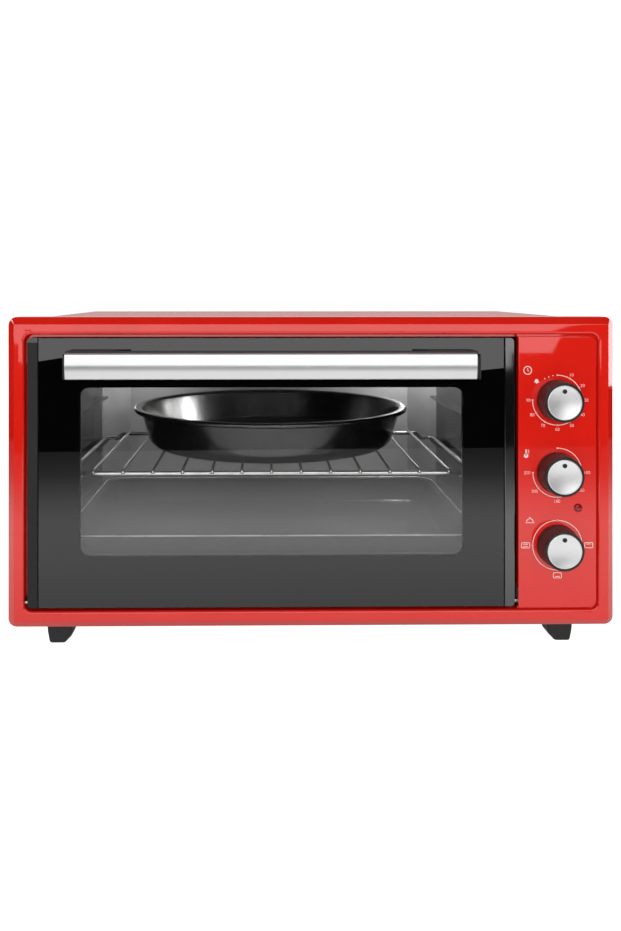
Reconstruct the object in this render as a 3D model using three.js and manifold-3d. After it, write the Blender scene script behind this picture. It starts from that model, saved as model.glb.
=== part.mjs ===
// Table-top electric oven: a painted steel body on four feet, with a drop-down glass door,
// a control panel with three knobs, and the rack, round pan and tray that it is used with.
// Millimetres. x runs to the right, y from the front to the back and z up from the table.
// The pieces are drawn with y = 0 at the front face, and the last lines centre the whole.

import * as THREE from "three";
import { mergeVertices } from "three/addons/utils/BufferGeometryUtils.js";
import Module from "manifold-3d";

const wasm = await Module();
wasm.setup();

// Overall sizes
const BODY_WIDTH = 584;
const BODY_HEIGHT = 298;
const BODY_DEPTH = 388;
const FOOT_HEIGHT = 23;

// Clearances and sheets
const TOUCH_GAP = 0.3;
const CUT_OVERRUN = 5;
const SHEET = 1;

// Front surround
const BEZEL_BORDER = 16.6;
const BEZEL_LAP = 2;
const BEZEL_WALL = 2;
const BEZEL_CHAMFER = 7;
const BEZEL_CORNER_RADIUS = 8;
const OPENING_RADIUS = 7;

// Door
const DOOR_GAP = 3.1;
const DOOR_DEPTH = 19.5;
const TRIM_WIDTH = 10;
const TRIM_RADIUS = 3.5;
const GLASS_THICKNESS = 4;
const GLASS_INSET = 0.6;
const WINDOW_SIDE_MARGIN = 50.15;
const WINDOW_BOTTOM_MARGIN = 49.35;
const WINDOW_TOP_MARGIN = 47.75;
const WINDOW_RADIUS = 9;
const WINDOW_MARGIN = 2;
const PANE_LAP = 10;
const DOOR_FRAME_WALL = 1.5;
const SEAL_WIDTH = 4;
const SEAL_DEPTH = 3.9;
const SEAL_MARGIN = 1;
const HINGE_AXIS_DEPTH = 6;
const HINGE_AXIS_LIFT = 4.3;
const HINGE_PIN_RADIUS = 2;
const HINGE_PIN_LENGTH = 20;
const BRACKET_THICKNESS = 3;
const BRACKET_HEIGHT = 16;
const BRACKET_TAB = 9;

// Handle
const HANDLE_END_MARGIN = 43.9;
const HANDLE_HEIGHT = 23.4;
const HANDLE_STANDOFF = 38;
const HANDLE_BELOW_DOOR_TOP = 25.1;
const HANDLE_COVER_DEPTH = 8;
const HANDLE_COVER_WALL = 1.5;
const HANDLE_COVER_RADIUS = 3;
const HANDLE_BACK_DEPTH = 7;
const HANDLE_BACK_RISE = 2.4;
const HANDLE_END_CAP = 1.6;
const POST_WIDTH = 39;
const POST_FLARE = 17;
const POST_HEIGHT = 17;
const SCREW_RADIUS = 2;
const SCREW_HEAD_RADIUS = 4.5;
const SCREW_HEAD_HEIGHT = 2.6;
const SCREW_CLEARANCE = 0.4;
const HANDLE_SCREW_BITE = 15;

// Control panel
const PANEL_WIDTH = 75.2;
const PANEL_GAP = 2.1;
const PANEL_FACE = 1.5;
const PANEL_LIP = 8;
const KNOB_SPACING = 69.7;
const KNOBS_BELOW_MIDDLE = 0.7;
const SHAFT_RADIUS = 3;
const SHAFT_FLAT = 1;
const SHAFT_HOLE_CLEARANCE = 2;
const LENS_RADIUS = 3.3;
const LENS_RIM_RADIUS = 4.2;
const LENS_RIM_HEIGHT = 0.9;
const LENS_LENGTH = 9;
const LENS_RIGHT_OF_KNOBS = 19.9;
const LENS_BELOW_MIDDLE_KNOB = 33.9;

// Knobs
const KNOB_LIFT = 1.2;
const KNOB_HEIGHT = 20;
const KNOB_CAP_RADIUS = 16.3;
const KNOB_RIM = 2.2;
const KNOB_FLARE = 1.2;
const KNOB_CAP_THICKNESS = 3.6;
const KNOB_CAP_HOLLOW = 1;
const KNOB_RECESS = 3.2;
const KNOB_WALL = 2;
const KNOB_HUB_RADIUS = 6;
const KNOB_BORE_FLOOR = 2.8;

// Switch gear behind the panel
const CHASSIS_SIDE_GAP = 4.6;
const CHASSIS_MARGIN = 6;
const BOSS_RADIUS = 6;
const BOSS_LENGTH = 6;
const SHAFT_SEAT = 12;
const TIMER_RADIUS = 24;
const TIMER_DEPTH = 34;
const BELL_RADIUS = 18;
const BELL_DEPTH = 12;
const THERMOSTAT_WIDTH = 44;
const THERMOSTAT_HEIGHT = 50;
const THERMOSTAT_DEPTH = 32;
const SWITCH_SIDE = 40;
const SWITCH_DEPTH = 38;
const BLADE_WIDTH = 6;
const BLADE_THICKNESS = 0.8;
const BLADE_LENGTH = 9;

// Cavity
const CAVITY_SIDE_MARGIN = 16.65;
const CAVITY_BOTTOM_MARGIN = 11.3;
const CAVITY_TOP_MARGIN = 13.3;
const CAVITY_BACK_MARGIN = 36;
const CORNER_SIDE_RUN = 47;
const CORNER_BACK_RUN = 30;
const CORNER_KNEE_IN = 12.3;
const CORNER_KNEE_FORWARD = 15;
const RUNNER_TOP_MARGIN = 77;
const RUNNER_REACH = 9;
const RUNNER_HEIGHT = 8.5;
const RUNNER_FRONT_MARGIN = 16;
const RUNNER_BACK_MARGIN = 8;
const RUNNER_COUNT = 3;

// Heaters and sensor
const HEATER_RADIUS = 3.5;
const HEATER_BEND = 28;
const HEATER_COLLAR_RADIUS = 7;
const HEATER_COLLAR = 2;
const HEATER_TAIL = 7;
const HEATER_WALL_GAP = 22;
const HEATER_FRONT_MARGIN = 54.5;
const HEATER_BACK_MARGIN = 82;
const UPPER_HEATER_DROP = 12;
const LOWER_HEATER_LIFT = 8;
const SENSOR_RADIUS = 3;
const SENSOR_LENGTH = 70;
const SENSOR_BACK_MARGIN = 82;
const SENSOR_DROP = 30;
const SENSOR_WALL_GAP = 9;
const CAPILLARY_RADIUS = 1;
const CAPILLARY_BEND = 8;
const CAPILLARY_HOLE_RADIUS = 4;

// Shell and base
const CASE_STEP = 6;
const CASE_TOP_DROP = 3;
const CASE_RADIUS = 6;
const CASE_SHEET = 1.2;
const FLANGE = 10;
const VENT_SLOT = 4;
const VENT_PITCH = 10;
const VENT_LENGTH = 34;
const VENT_COUNT = 9;
const FOOT_INSET = 44.5;
const FOOT_BACK_MARGIN = 12;
const FOOT_HALF = 13;
const FOOT_OUTER_TAPER = 3.4;
const FOOT_INNER_TAPER = 7.2;
const FOOT_RADIUS = 3;
// Height, outer taper and inner taper of each section of a foot, from the table up
const FOOT_SECTION_SHARES = [
  [0, 1, 1],
  [0.05, 0.8, 0.84],
  [0.22, 0.56, 0.25],
  [0.4, 0.3, 0.06],
  [1, 0, 0],
];
const FOOT_PEG_RADIUS = 3;
const FOOT_PEG_LENGTH = 6;
const BACK_SCREW_MARGIN = 14;
const BACK_SCREW_LENGTH = 9;
const GLAND_RADIUS = 8;
const GLAND_BORE = 4;
const GLAND_FLANGE_RADIUS = 11;
const GLAND_FLANGE = 2.5;
const GLAND_LENGTH = 14;
const GLAND_ABOVE_BASE = 36;
const TERMINAL_BLOCK_WIDTH = 36;
const TERMINAL_BLOCK_DEPTH = 18;
const TERMINAL_BLOCK_HEIGHT = 16;
const TERMINAL_WELL_RADIUS = 3;
const TERMINAL_WELLS = 3;
const SHIELD_GAP = 10;
const PAD_GAP = 2;
const PAD_MARGIN = 8;

// Rack, pan and tray
const RACK_SIDE_GAP = 6;
const RACK_FRONT_MARGIN = 16.5;
const RACK_BACK_MARGIN = 60;
const RAIL_RADIUS = 2.5;
const SIDE_RAIL_RADIUS = 2.6;
const SIDE_RAIL_LAP = 4.5;
const RAIL_RISE = 6;
const RAIL_RISE_START = 20;
const RAIL_RISE_RUN = 10;
const RAIL_CORNER = 9;
const WIRE_RADIUS = 1.7;
const WIRE_COUNT = 13;
const WIRE_SIDE_MARGIN = 33.4;
const WIRE_STUB = 3.2;
const WIRE_BEND = 2.1;
const WELD_SINK = 0.6;
const PAN_FRONT_GAP = 6.5;
const PAN_BACK_GAP = 4;
const PAN_RIM = 8;
const PAN_FLARE = 8;
const PAN_HEIGHT = 45;
const PAN_SHEET = 1.6;
const PAN_LIP = 5;
const PAN_BASE_ROUND = 16;
const PAN_ROUND_STEPS = 3;
const TRAY_FRONT_MARGIN = 21.5;
const TRAY_BACK_MARGIN = 23;
const TRAY_SIDE_GAP = 4;
const TRAY_DEPTH = 29;
const TRAY_HEATER_GAP = 5;
const TRAY_LIP = 8;
const TRAY_SLOPE = 9;
const TRAY_SHEET = 1.2;
const TRAY_RADIUS = 26;

// How finely round shapes are cut
const FINE = 36;
const MEDIUM = 18;
const COARSE = 10;
const RAIL_SIDES = 8;
const WIRE_SIDES = 6;
const CAPILLARY_SIDES = 5;
const PAN_SIDES = 46;
const ARC_STEPS = 4;
const BEND_STEPS = 3;

// Places that follow from the sizes
const bodyBottom = FOOT_HEIGHT;
const bodyTop = FOOT_HEIGHT + BODY_HEIGHT;
const bodyHalf = BODY_WIDTH / 2;
const bodyMiddle = (bodyBottom + bodyTop) / 2;
const openingHalfWidth = bodyHalf - BEZEL_BORDER;
const openingBottom = bodyBottom + BEZEL_BORDER;
const openingTop = bodyTop - BEZEL_BORDER;
const panelRight = openingHalfWidth - PANEL_GAP;
const panelLeft = panelRight - PANEL_WIDTH;
const panelBottom = openingBottom + PANEL_GAP;
const panelTop = openingTop - PANEL_GAP;
const knobX = (panelLeft + panelRight) / 2;
const knobMiddleZ = bodyMiddle - KNOBS_BELOW_MIDDLE;
const chassisLeft = panelLeft + CHASSIS_SIDE_GAP;
const chassisRight = panelRight - CHASSIS_SIDE_GAP;
const chassisLow = knobMiddleZ - KNOB_SPACING - TIMER_RADIUS - CHASSIS_MARGIN * 2;
const chassisHigh = knobMiddleZ + KNOB_SPACING + TIMER_RADIUS + CHASSIS_MARGIN * 2;
const doorLeft = DOOR_GAP - openingHalfWidth;
const doorRight = panelLeft - DOOR_GAP;
const doorBottom = openingBottom + DOOR_GAP;
const doorTop = openingTop - DOOR_GAP;
const doorX = (doorLeft + doorRight) / 2;
const hingeZ = doorBottom + HINGE_AXIS_LIFT;
const frontFrame = DOOR_DEPTH + SEAL_DEPTH + TOUCH_GAP * 2;
const bezelDepth = frontFrame + BEZEL_LAP;
const cavityFront = frontFrame + CASE_SHEET + TOUCH_GAP;
const cavityBack = BODY_DEPTH - CAVITY_BACK_MARGIN;
const cavityBottom = doorBottom + CAVITY_BOTTOM_MARGIN;
const cavityTop = doorTop - CAVITY_TOP_MARGIN;
const cavityLeft = doorLeft + CAVITY_SIDE_MARGIN;
const cavityRight = doorRight - CAVITY_SIDE_MARGIN;
const cavityHalf = (cavityRight - cavityLeft) / 2;
const heaterFront = cavityFront + HEATER_FRONT_MARGIN;
const heaterBack = cavityBack - HEATER_BACK_MARGIN;
const sensorBack = cavityBack - SENSOR_BACK_MARGIN;
const sensorFront = sensorBack - SENSOR_LENGTH;
const cornerStart = cavityBack - CORNER_SIDE_RUN;
const caseHalf = bodyHalf - CASE_STEP;
const caseTop = bodyTop - CASE_TOP_DROP;
const caseInnerHalf = caseHalf - CASE_SHEET;
const innerHalf = caseInnerHalf - TOUCH_GAP;
const baseBottom = bodyBottom + CASE_TOP_DROP;
const rearFace = BODY_DEPTH;
const backPanelFront = rearFace - SHEET;
const shieldX = cavityRight + SHEET + SHIELD_GAP;

// Solids from geometry, and back

function solidOf(geometry) {
  const bare = geometry.clone();
  bare.deleteAttribute("normal");
  bare.deleteAttribute("uv");
  const merged = mergeVertices(bare);
  const vertProperties = Float32Array.from(merged.attributes.position.array);
  const triVerts = Uint32Array.from(merged.index.array);
  const made = new wasm.Manifold(new wasm.Mesh({ numProp: 3, vertProperties, triVerts }));
  if (made.volume() > 0) return made;
  triVerts.reverse();
  return new wasm.Manifold(new wasm.Mesh({ numProp: 3, vertProperties, triVerts }));
}

function geometryOf(solid) {
  const { vertProperties, triVerts } = solid.getMesh();
  const geometry = new THREE.BufferGeometry();
  geometry.setAttribute("position", new THREE.BufferAttribute(Float32Array.from(vertProperties), 3));
  geometry.setIndex(Array.from(triVerts));
  geometry.computeVertexNormals();
  return geometry;
}

function join(...solids) {
  return solids.flat(Infinity).reduce((whole, piece) => whole.add(piece));
}

function cut(solid, ...cutters) {
  return cutters.flat(Infinity).reduce((rest, cutter) => rest.subtract(cutter), solid);
}

// Simple shapes

function block(left, right, front, rear, low, high) {
  const geometry = new THREE.BoxGeometry(right - left, rear - front, high - low);
  geometry.translate((left + right) / 2, (front + rear) / 2, (low + high) / 2);
  return solidOf(geometry);
}

// A rod along x, y or z; the two other numbers are its place across it.
function rodX(y, z, radius, left, right, sides = MEDIUM) {
  const geometry = new THREE.CylinderGeometry(radius, radius, right - left, sides);
  geometry.rotateZ(-Math.PI / 2).translate((left + right) / 2, y, z);
  return solidOf(geometry);
}

function rodY(x, z, radius, front, rear, sides = MEDIUM) {
  const geometry = new THREE.CylinderGeometry(radius, radius, rear - front, sides);
  geometry.translate(x, (front + rear) / 2, z);
  return solidOf(geometry);
}

function rodZ(x, y, radius, low, high, sides = MEDIUM) {
  const geometry = new THREE.CylinderGeometry(radius, radius, high - low, sides);
  geometry.rotateX(Math.PI / 2).translate(x, y, (low + high) / 2);
  return solidOf(geometry);
}

// A profile of [radius, y] points turned about a line along y through x, z.
function turnedY(profile, x, z, sides = FINE) {
  const geometry = new THREE.LatheGeometry(profile.map(([r, y]) => new THREE.Vector2(r, y)), sides);
  return solidOf(geometry.translate(x, 0, z));
}

// A profile of [radius, z] points turned about an upright line through x, y.
function turnedZ(profile, x, y, sides = FINE) {
  const geometry = new THREE.LatheGeometry(profile.map(([r, z]) => new THREE.Vector2(r, z)), sides);
  return solidOf(geometry.rotateX(Math.PI / 2).translate(x, y, 0));
}

// Outlines, as lists of two-number points

function roundedRect(left, right, low, high, radius) {
  const corners = [
    [right - radius, high - radius, 0],
    [left + radius, high - radius, 1],
    [left + radius, low + radius, 2],
    [right - radius, low + radius, 3],
  ];
  return corners.flatMap(([x, y, quarter]) => arc(x, y, radius, quarter, quarter + 1));
}

// Points on an arc about x, y; the ends are counted in quarter turns.
function arc(x, y, radius, from, to, steps = ARC_STEPS) {
  const points = [];
  for (let i = 0; i <= steps; i++) {
    const angle = (Math.PI / 2) * (from + ((to - from) * i) / steps);
    points.push([x + radius * Math.cos(angle), y + radius * Math.sin(angle)]);
  }
  return points;
}

function extruded(outline, depth) {
  const shape = new THREE.Shape(outline.map(([u, v]) => new THREE.Vector2(u, v)));
  return new THREE.ExtrudeGeometry(shape, { depth, bevelEnabled: false, steps: 1 });
}

// An outline drawn in x and z, standing from front to rear
function alongY(outline, front, rear) {
  return solidOf(extruded(outline, rear - front).rotateX(Math.PI / 2).translate(0, rear, 0));
}

// An outline drawn in x and y, from low to high
function alongZ(outline, low, high) {
  return solidOf(extruded(outline, high - low).translate(0, 0, low));
}

// An outline drawn in y and z, from left to right
function alongX(outline, left, right) {
  const toX = new THREE.Matrix4().makeBasis(
    new THREE.Vector3(0, 1, 0), new THREE.Vector3(0, 0, 1), new THREE.Vector3(1, 0, 0));
  return solidOf(extruded(outline, right - left).applyMatrix4(toX).translate(left, 0, 0));
}

// A closed skin over rings of points, with both ends filled
function loft(rings) {
  const count = rings[0].length;
  const points = rings.flat();
  const faces = [];
  for (let r = 0; r + 1 < rings.length; r++) {
    for (let i = 0; i < count; i++) {
      const a = r * count + i;
      const b = r * count + ((i + 1) % count);
      faces.push(a, b, b + count, a, b + count, a + count);
    }
  }
  const last = (rings.length - 1) * count;
  for (let i = 1; i + 1 < count; i++) {
    faces.push(0, i + 1, i, last, last + i, last + i + 1);
  }
  const geometry = new THREE.BufferGeometry().setFromPoints(points);
  geometry.setIndex(faces);
  return solidOf(geometry);
}

// A path through given points that keeps a ring of the extrusion at each of them
class PointPath extends THREE.Curve {
  constructor(points) {
    super();
    this.points = points;
  }
  indexAt(u) {
    return Math.round(u * (this.points.length - 1));
  }
  getPointAt(u) {
    return this.points[this.indexAt(u)].clone();
  }
  getTangentAt(u, target = new THREE.Vector3()) {
    const i = this.indexAt(u);
    const before = this.points[Math.max(i - 1, 0)];
    const after = this.points[Math.min(i + 1, this.points.length - 1)];
    const here = this.points[i];
    const into = here.clone().sub(before).normalize();
    const out = after.clone().sub(here).normalize();
    return target.copy(into).add(out).normalize();
  }
}

// The corners of a bent rod, with an arc of the given radius at each bend
function bent(corners, radius, steps = ARC_STEPS) {
  const path = [corners[0]];
  for (let i = 1; i + 1 < corners.length; i++) {
    const into = corners[i].clone().sub(corners[i - 1]).normalize();
    const out = corners[i + 1].clone().sub(corners[i]).normalize();
    const turn = into.angleTo(out);
    const start = corners[i].clone().addScaledVector(into, -radius * Math.tan(turn / 2));
    const inward = out.clone().addScaledVector(into, -out.dot(into)).normalize();
    for (let k = 0; k <= steps; k++) {
      const angle = (turn * k) / steps;
      const along = start.clone().addScaledVector(into, radius * Math.sin(angle));
      path.push(along.addScaledVector(inward, radius * (1 - Math.cos(angle))));
    }
  }
  path.push(corners[corners.length - 1]);
  return path;
}

function tube(points, radius, sides = COARSE) {
  const circle = [];
  for (let i = 0; i < sides; i++) {
    const angle = (2 * Math.PI * i) / sides;
    circle.push(new THREE.Vector2(radius * Math.cos(angle), radius * Math.sin(angle)));
  }
  const extrudePath = new PointPath(points);
  const options = { steps: points.length - 1, extrudePath };
  return solidOf(new THREE.ExtrudeGeometry(new THREE.Shape(circle), options));
}

const at = (x, y, z) => new THREE.Vector3(x, y, z);

// Front surround: a shell with chamfered outer edges and one wide opening

// A block the size of the body, inset all round, with the given chamfer round its front
function chamferedBlock(inset, chamfer, front, rear) {
  return loft([
    frontRing(inset + chamfer, front),
    frontRing(inset, front + chamfer),
    frontRing(inset, rear),
  ]);
}

function frontRing(inset, y) {
  return roundedRect(
    inset - bodyHalf, bodyHalf - inset, bodyBottom + inset, bodyTop - inset, BEZEL_CORNER_RADIUS - inset,
  ).map(([x, z]) => at(x, y, z));
}

function frontBezel() {
  const innerChamfer = BEZEL_CHAMFER - BEZEL_WALL * (2 - Math.SQRT2);
  const outside = chamferedBlock(0, BEZEL_CHAMFER, 0, bezelDepth);
  const inside = chamferedBlock(BEZEL_WALL, innerChamfer, BEZEL_WALL, bezelDepth + CUT_OVERRUN);
  const opening = alongY(
    roundedRect(-openingHalfWidth, openingHalfWidth, openingBottom, openingTop, OPENING_RADIUS),
    -CUT_OVERRUN, bezelDepth);
  return cut(outside, inside, opening);
}

// Front frame: the plate behind the surround that carries the cavity, the hinges and the chassis

function frontFramePlate() {
  const half = bodyHalf - BEZEL_WALL - TOUCH_GAP;
  const low = bodyBottom + BEZEL_WALL + TOUCH_GAP;
  const high = bodyTop - BEZEL_WALL - TOUCH_GAP;
  const rear = frontFrame + CASE_SHEET;
  const radius = BEZEL_CORNER_RADIUS - BEZEL_WALL;
  const plate = alongY(roundedRect(-half, half, low, high, radius), frontFrame, rear);
  const mouth = block(
    cavityLeft, cavityRight, frontFrame - CUT_OVERRUN, rear + CUT_OVERRUN, cavityBottom, cavityTop);
  const controls = block(
    chassisLeft + CHASSIS_MARGIN, chassisRight - CHASSIS_MARGIN,
    frontFrame - CUT_OVERRUN, rear + CUT_OVERRUN,
    chassisLow + CHASSIS_MARGIN, chassisHigh - CHASSIS_MARGIN);
  return cut(plate, mouth, controls);
}

// Outer shell: top and sides in one bent sheet, slotted beside the controls

function outerCase() {
  const outside = archOutline(caseHalf, caseTop, CASE_RADIUS);
  const inside = archOutline(caseInnerHalf, caseTop - CASE_SHEET, CASE_RADIUS - CASE_SHEET);
  const shell = alongY([...outside, ...inside.reverse()], cavityFront, rearFace);
  return cut(shell, sideVents());
}

// The line of the case seen from the front, up one side, over the top and down the other
function archOutline(half, top, radius) {
  return [
    [half, baseBottom],
    ...arc(half - radius, top - radius, radius, 0, 1),
    ...arc(radius - half, top - radius, radius, 1, 2),
    [-half, baseBottom],
  ];
}

function sideVents() {
  const rear = rearFace - BACK_SCREW_MARGIN - FLANGE;
  const rows = [bodyMiddle - VENT_LENGTH * 2, bodyMiddle + VENT_LENGTH];
  return rows.flatMap((low) => {
    const slots = [];
    for (let i = 0; i < VENT_COUNT; i++) {
      const y = rear - i * VENT_PITCH;
      slots.push(block(
        caseHalf - CASE_SHEET - CUT_OVERRUN, caseHalf + CUT_OVERRUN,
        y - VENT_SLOT / 2, y + VENT_SLOT / 2, low, low + VENT_LENGTH));
    }
    return slots;
  });
}

// Base plate, with its side flanges turned up, peg holes for the feet and vents under the controls

function basePlate() {
  const front = cavityFront;
  const rear = backPanelFront - TOUCH_GAP;
  const floor = block(-innerHalf, innerHalf, front, rear, baseBottom, baseBottom + SHEET);
  const flanges = [-1, 1].map((side) => {
    const edge = side * innerHalf;
    const inner = side * (innerHalf - SHEET);
    return block(Math.min(edge, inner), Math.max(edge, inner), front, rear,
      baseBottom, baseBottom + FLANGE);
  });
  const pegs = footPlaces().map(({ x, y }) => rodZ(
    x, y, FOOT_PEG_RADIUS + TOUCH_GAP, baseBottom - CUT_OVERRUN, baseBottom + FLANGE));
  const vents = [];
  for (let i = 0; i < VENT_COUNT; i++) {
    const y = (front + rear) / 2 + (i - (VENT_COUNT - 1) / 2) * VENT_PITCH;
    vents.push(block(
      knobX - VENT_LENGTH / 2, knobX + VENT_LENGTH / 2, y - VENT_SLOT / 2, y + VENT_SLOT / 2,
      baseBottom - CUT_OVERRUN, baseBottom + FLANGE));
  }
  return cut(join(floor, flanges), pegs, vents);
}

// Back panel: a shallow tray with vents, a hole for the inlet and screw holes

function backPanel() {
  const low = baseBottom + SHEET + TOUCH_GAP;
  const high = caseTop - CASE_SHEET - TOUCH_GAP;
  const flangeFront = backPanelFront - FLANGE;
  const top = high - CASE_RADIUS;
  const half = innerHalf - SHEET - TOUCH_GAP;
  const plate = alongY(roundedRect(-half, half, low, high, CASE_RADIUS), backPanelFront, rearFace);
  const upperFlange = block(CASE_RADIUS - half, half - CASE_RADIUS,
    flangeFront, backPanelFront + SHEET / 2, high - SHEET, high);
  const screws = backScrewPlaces().map(({ x, z }) => rodY(
    x, z, SCREW_RADIUS + SCREW_CLEARANCE, backPanelFront - CUT_OVERRUN, rearFace + CUT_OVERRUN, COARSE));
  const gland = rodY(knobX, glandZ, GLAND_RADIUS + TOUCH_GAP,
    backPanelFront - CUT_OVERRUN, rearFace + CUT_OVERRUN);
  const vents = [doorX, knobX].flatMap((middle) => {
    const slots = [];
    for (let i = 0; i < VENT_COUNT; i++) {
      const z = top - VENT_LENGTH - i * VENT_PITCH;
      slots.push(block(
        middle - VENT_LENGTH / 2, middle + VENT_LENGTH / 2,
        backPanelFront - CUT_OVERRUN, rearFace + CUT_OVERRUN, z - VENT_SLOT / 2, z + VENT_SLOT / 2));
    }
    return slots;
  });
  return cut(join(plate, upperFlange), screws, gland, vents);
}

function backScrewPlaces() {
  const x = innerHalf - BACK_SCREW_MARGIN;
  const low = baseBottom + BACK_SCREW_MARGIN;
  const high = caseTop - BACK_SCREW_MARGIN;
  return [
    { x: -x, z: low, name: "lower_left" },
    { x, z: low, name: "lower_right" },
    { x: -x, z: high, name: "upper_left" },
    { x, z: high, name: "upper_right" },
  ];
}

// A round-headed screw along y; the head stands on the face at y = seat, on the side given.
function screw(x, z, seat, length, headSide) {
  const shoulder = seat + headSide * TOUCH_GAP;
  const crown = shoulder + headSide * SCREW_HEAD_HEIGHT;
  const tip = seat - headSide * length;
  return turnedY([
    [0, tip],
    [SCREW_RADIUS, tip],
    [SCREW_RADIUS, shoulder],
    [SCREW_HEAD_RADIUS, shoulder],
    [SCREW_HEAD_RADIUS, (shoulder + crown) / 2],
    [SCREW_HEAD_RADIUS / 2, crown],
    [0, crown],
  ], x, z, COARSE);
}

// Feet: rubber blocks that taper most on the inner side, with a peg that snaps into the base plate

function footPlaces() {
  const x = bodyHalf - FOOT_INSET;
  const front = bezelDepth + TOUCH_GAP + FOOT_HALF;
  const back = rearFace - FOOT_BACK_MARGIN - FOOT_HALF;
  return [
    { x: -x, y: front, name: "front_left" },
    { x, y: front, name: "front_right" },
    { x: -x, y: back, name: "rear_left" },
    { x, y: back, name: "rear_right" },
  ];
}

function foot({ x, y }) {
  const top = baseBottom - TOUCH_GAP;
  const side = Math.sign(x);
  const rings = FOOT_SECTION_SHARES.map(([height, outerTaper, innerTaper]) => {
    const outer = x + side * (FOOT_HALF - FOOT_OUTER_TAPER * outerTaper);
    const inner = x - side * (FOOT_HALF - FOOT_INNER_TAPER * innerTaper);
    const rear = y + FOOT_HALF - FOOT_OUTER_TAPER * outerTaper;
    const ring = roundedRect(
      Math.min(outer, inner), Math.max(outer, inner), y - FOOT_HALF, rear, FOOT_RADIUS);
    return ring.map(([u, v]) => at(u, v, top * height));
  });
  return join(loft(rings), rodZ(x, y, FOOT_PEG_RADIUS, top - SHEET, top + FOOT_PEG_LENGTH));
}

// Inlet for the mains lead in the back panel, and the terminal block behind it

const glandZ = baseBottom + GLAND_ABOVE_BASE;

function cordGland() {
  const flangeFront = rearFace + TOUCH_GAP;
  return turnedY([
    [GLAND_BORE, backPanelFront - GLAND_LENGTH / 2],
    [GLAND_RADIUS, backPanelFront - GLAND_LENGTH / 2],
    [GLAND_RADIUS, flangeFront],
    [GLAND_FLANGE_RADIUS, flangeFront],
    [GLAND_FLANGE_RADIUS, flangeFront + GLAND_FLANGE / 2],
    [GLAND_RADIUS, flangeFront + GLAND_FLANGE],
    [GLAND_BORE, flangeFront + GLAND_FLANGE],
    [GLAND_BORE, backPanelFront - GLAND_LENGTH / 2],
  ], knobX, glandZ, MEDIUM);
}

function terminalBlock() {
  const rear = backPanelFront - GLAND_LENGTH * 2;
  const low = baseBottom + SHEET + TOUCH_GAP;
  const high = low + TERMINAL_BLOCK_HEIGHT;
  const body = block(
    knobX - TERMINAL_BLOCK_WIDTH / 2, knobX + TERMINAL_BLOCK_WIDTH / 2,
    rear - TERMINAL_BLOCK_DEPTH, rear, low, high);
  const wells = [];
  for (let i = 0; i < TERMINAL_WELLS; i++) {
    const x = knobX + (i - (TERMINAL_WELLS - 1) / 2) * (TERMINAL_BLOCK_WIDTH / TERMINAL_WELLS);
    wells.push(rodZ(x, rear - TERMINAL_BLOCK_DEPTH / 2, TERMINAL_WELL_RADIUS,
      high - TERMINAL_BLOCK_HEIGHT / 2, high + CUT_OVERRUN, COARSE));
  }
  return cut(body, wells);
}

// Cavity walls

// The lowest runner holds the tray clear of the heater, and the highest stays below the roof.
function runnerTop(level) {
  const trayLow = cavityBottom + LOWER_HEATER_LIFT + HEATER_RADIUS + TRAY_HEATER_GAP;
  const lowest = trayLow + TRAY_DEPTH - TRAY_SHEET - TOUCH_GAP;
  const highest = cavityTop - RUNNER_TOP_MARGIN;
  return lowest + ((highest - lowest) * level) / (RUNNER_COUNT - 1);
}

// A side wall with pressed shelf runners; side is -1 on the left and 1 on the right.
function cavitySide(side) {
  const face = doorX + side * cavityHalf;
  const outer = face + side * SHEET;
  const wall = block(Math.min(face, outer), Math.max(face, outer),
    cavityFront, cornerStart - TOUCH_GAP, cavityBottom, cavityTop);
  const runners = [];
  for (let level = 0; level < RUNNER_COUNT; level++) {
    const top = runnerTop(level);
    const profile = [
      [face + (side * SHEET) / 2, top],
      [face - side * RUNNER_REACH, top],
      [face - side * RUNNER_REACH, top - RUNNER_HEIGHT / 3],
      [face + (side * SHEET) / 2, top - RUNNER_HEIGHT],
    ];
    runners.push(alongY(profile, cavityFront + RUNNER_FRONT_MARGIN, cornerStart - RUNNER_BACK_MARGIN));
  }
  return join(wall, runners);
}

// The right wall lets the heater tails and the sensor's capillary through.
function cavityRightWall() {
  const reach = [cavityRight - CUT_OVERRUN, cavityRight + SHEET + CUT_OVERRUN];
  const tails = heaterHeights().flatMap((z) => [heaterFront, heaterBack].map((y) => rodX(
    y, z, HEATER_RADIUS + TOUCH_GAP, ...reach, COARSE)));
  const hole = rodX(sensorFront - SENSOR_LENGTH / 3, cavityTop - SENSOR_DROP, CAPILLARY_HOLE_RADIUS,
    ...reach, COARSE);
  return cut(cavitySide(1), tails, hole);
}

// Half of the back wall's line seen from above, from the middle to the side wall
function cornerLine(side, grow) {
  return [
    [doorX + side * (cavityHalf - CORNER_BACK_RUN), cavityBack + grow],
    [doorX + side * (cavityHalf - CORNER_KNEE_IN + grow), cavityBack - CORNER_KNEE_FORWARD + grow],
    [doorX + side * (cavityHalf + grow), cornerStart],
  ];
}

function cavityBackWall() {
  const inner = [...cornerLine(-1, 0).reverse(), ...cornerLine(1, 0)];
  const outer = [...cornerLine(-1, SHEET).reverse(), ...cornerLine(1, SHEET)];
  return alongZ([...inner, ...outer.reverse()], cavityBottom, cavityTop);
}

function cavityLid(low, high) {
  const outline = [
    ...cornerLine(-1, SHEET).reverse(),
    ...cornerLine(1, SHEET),
    [cavityRight + SHEET, cavityFront],
    [cavityLeft - SHEET, cavityFront],
  ];
  return alongZ(outline, low, high);
}

// Tubular heaters: one loop under the roof and one over the floor, with tails through the right wall

function heaterHeights() {
  return [cavityTop - UPPER_HEATER_DROP, cavityBottom + LOWER_HEATER_LIFT];
}

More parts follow.
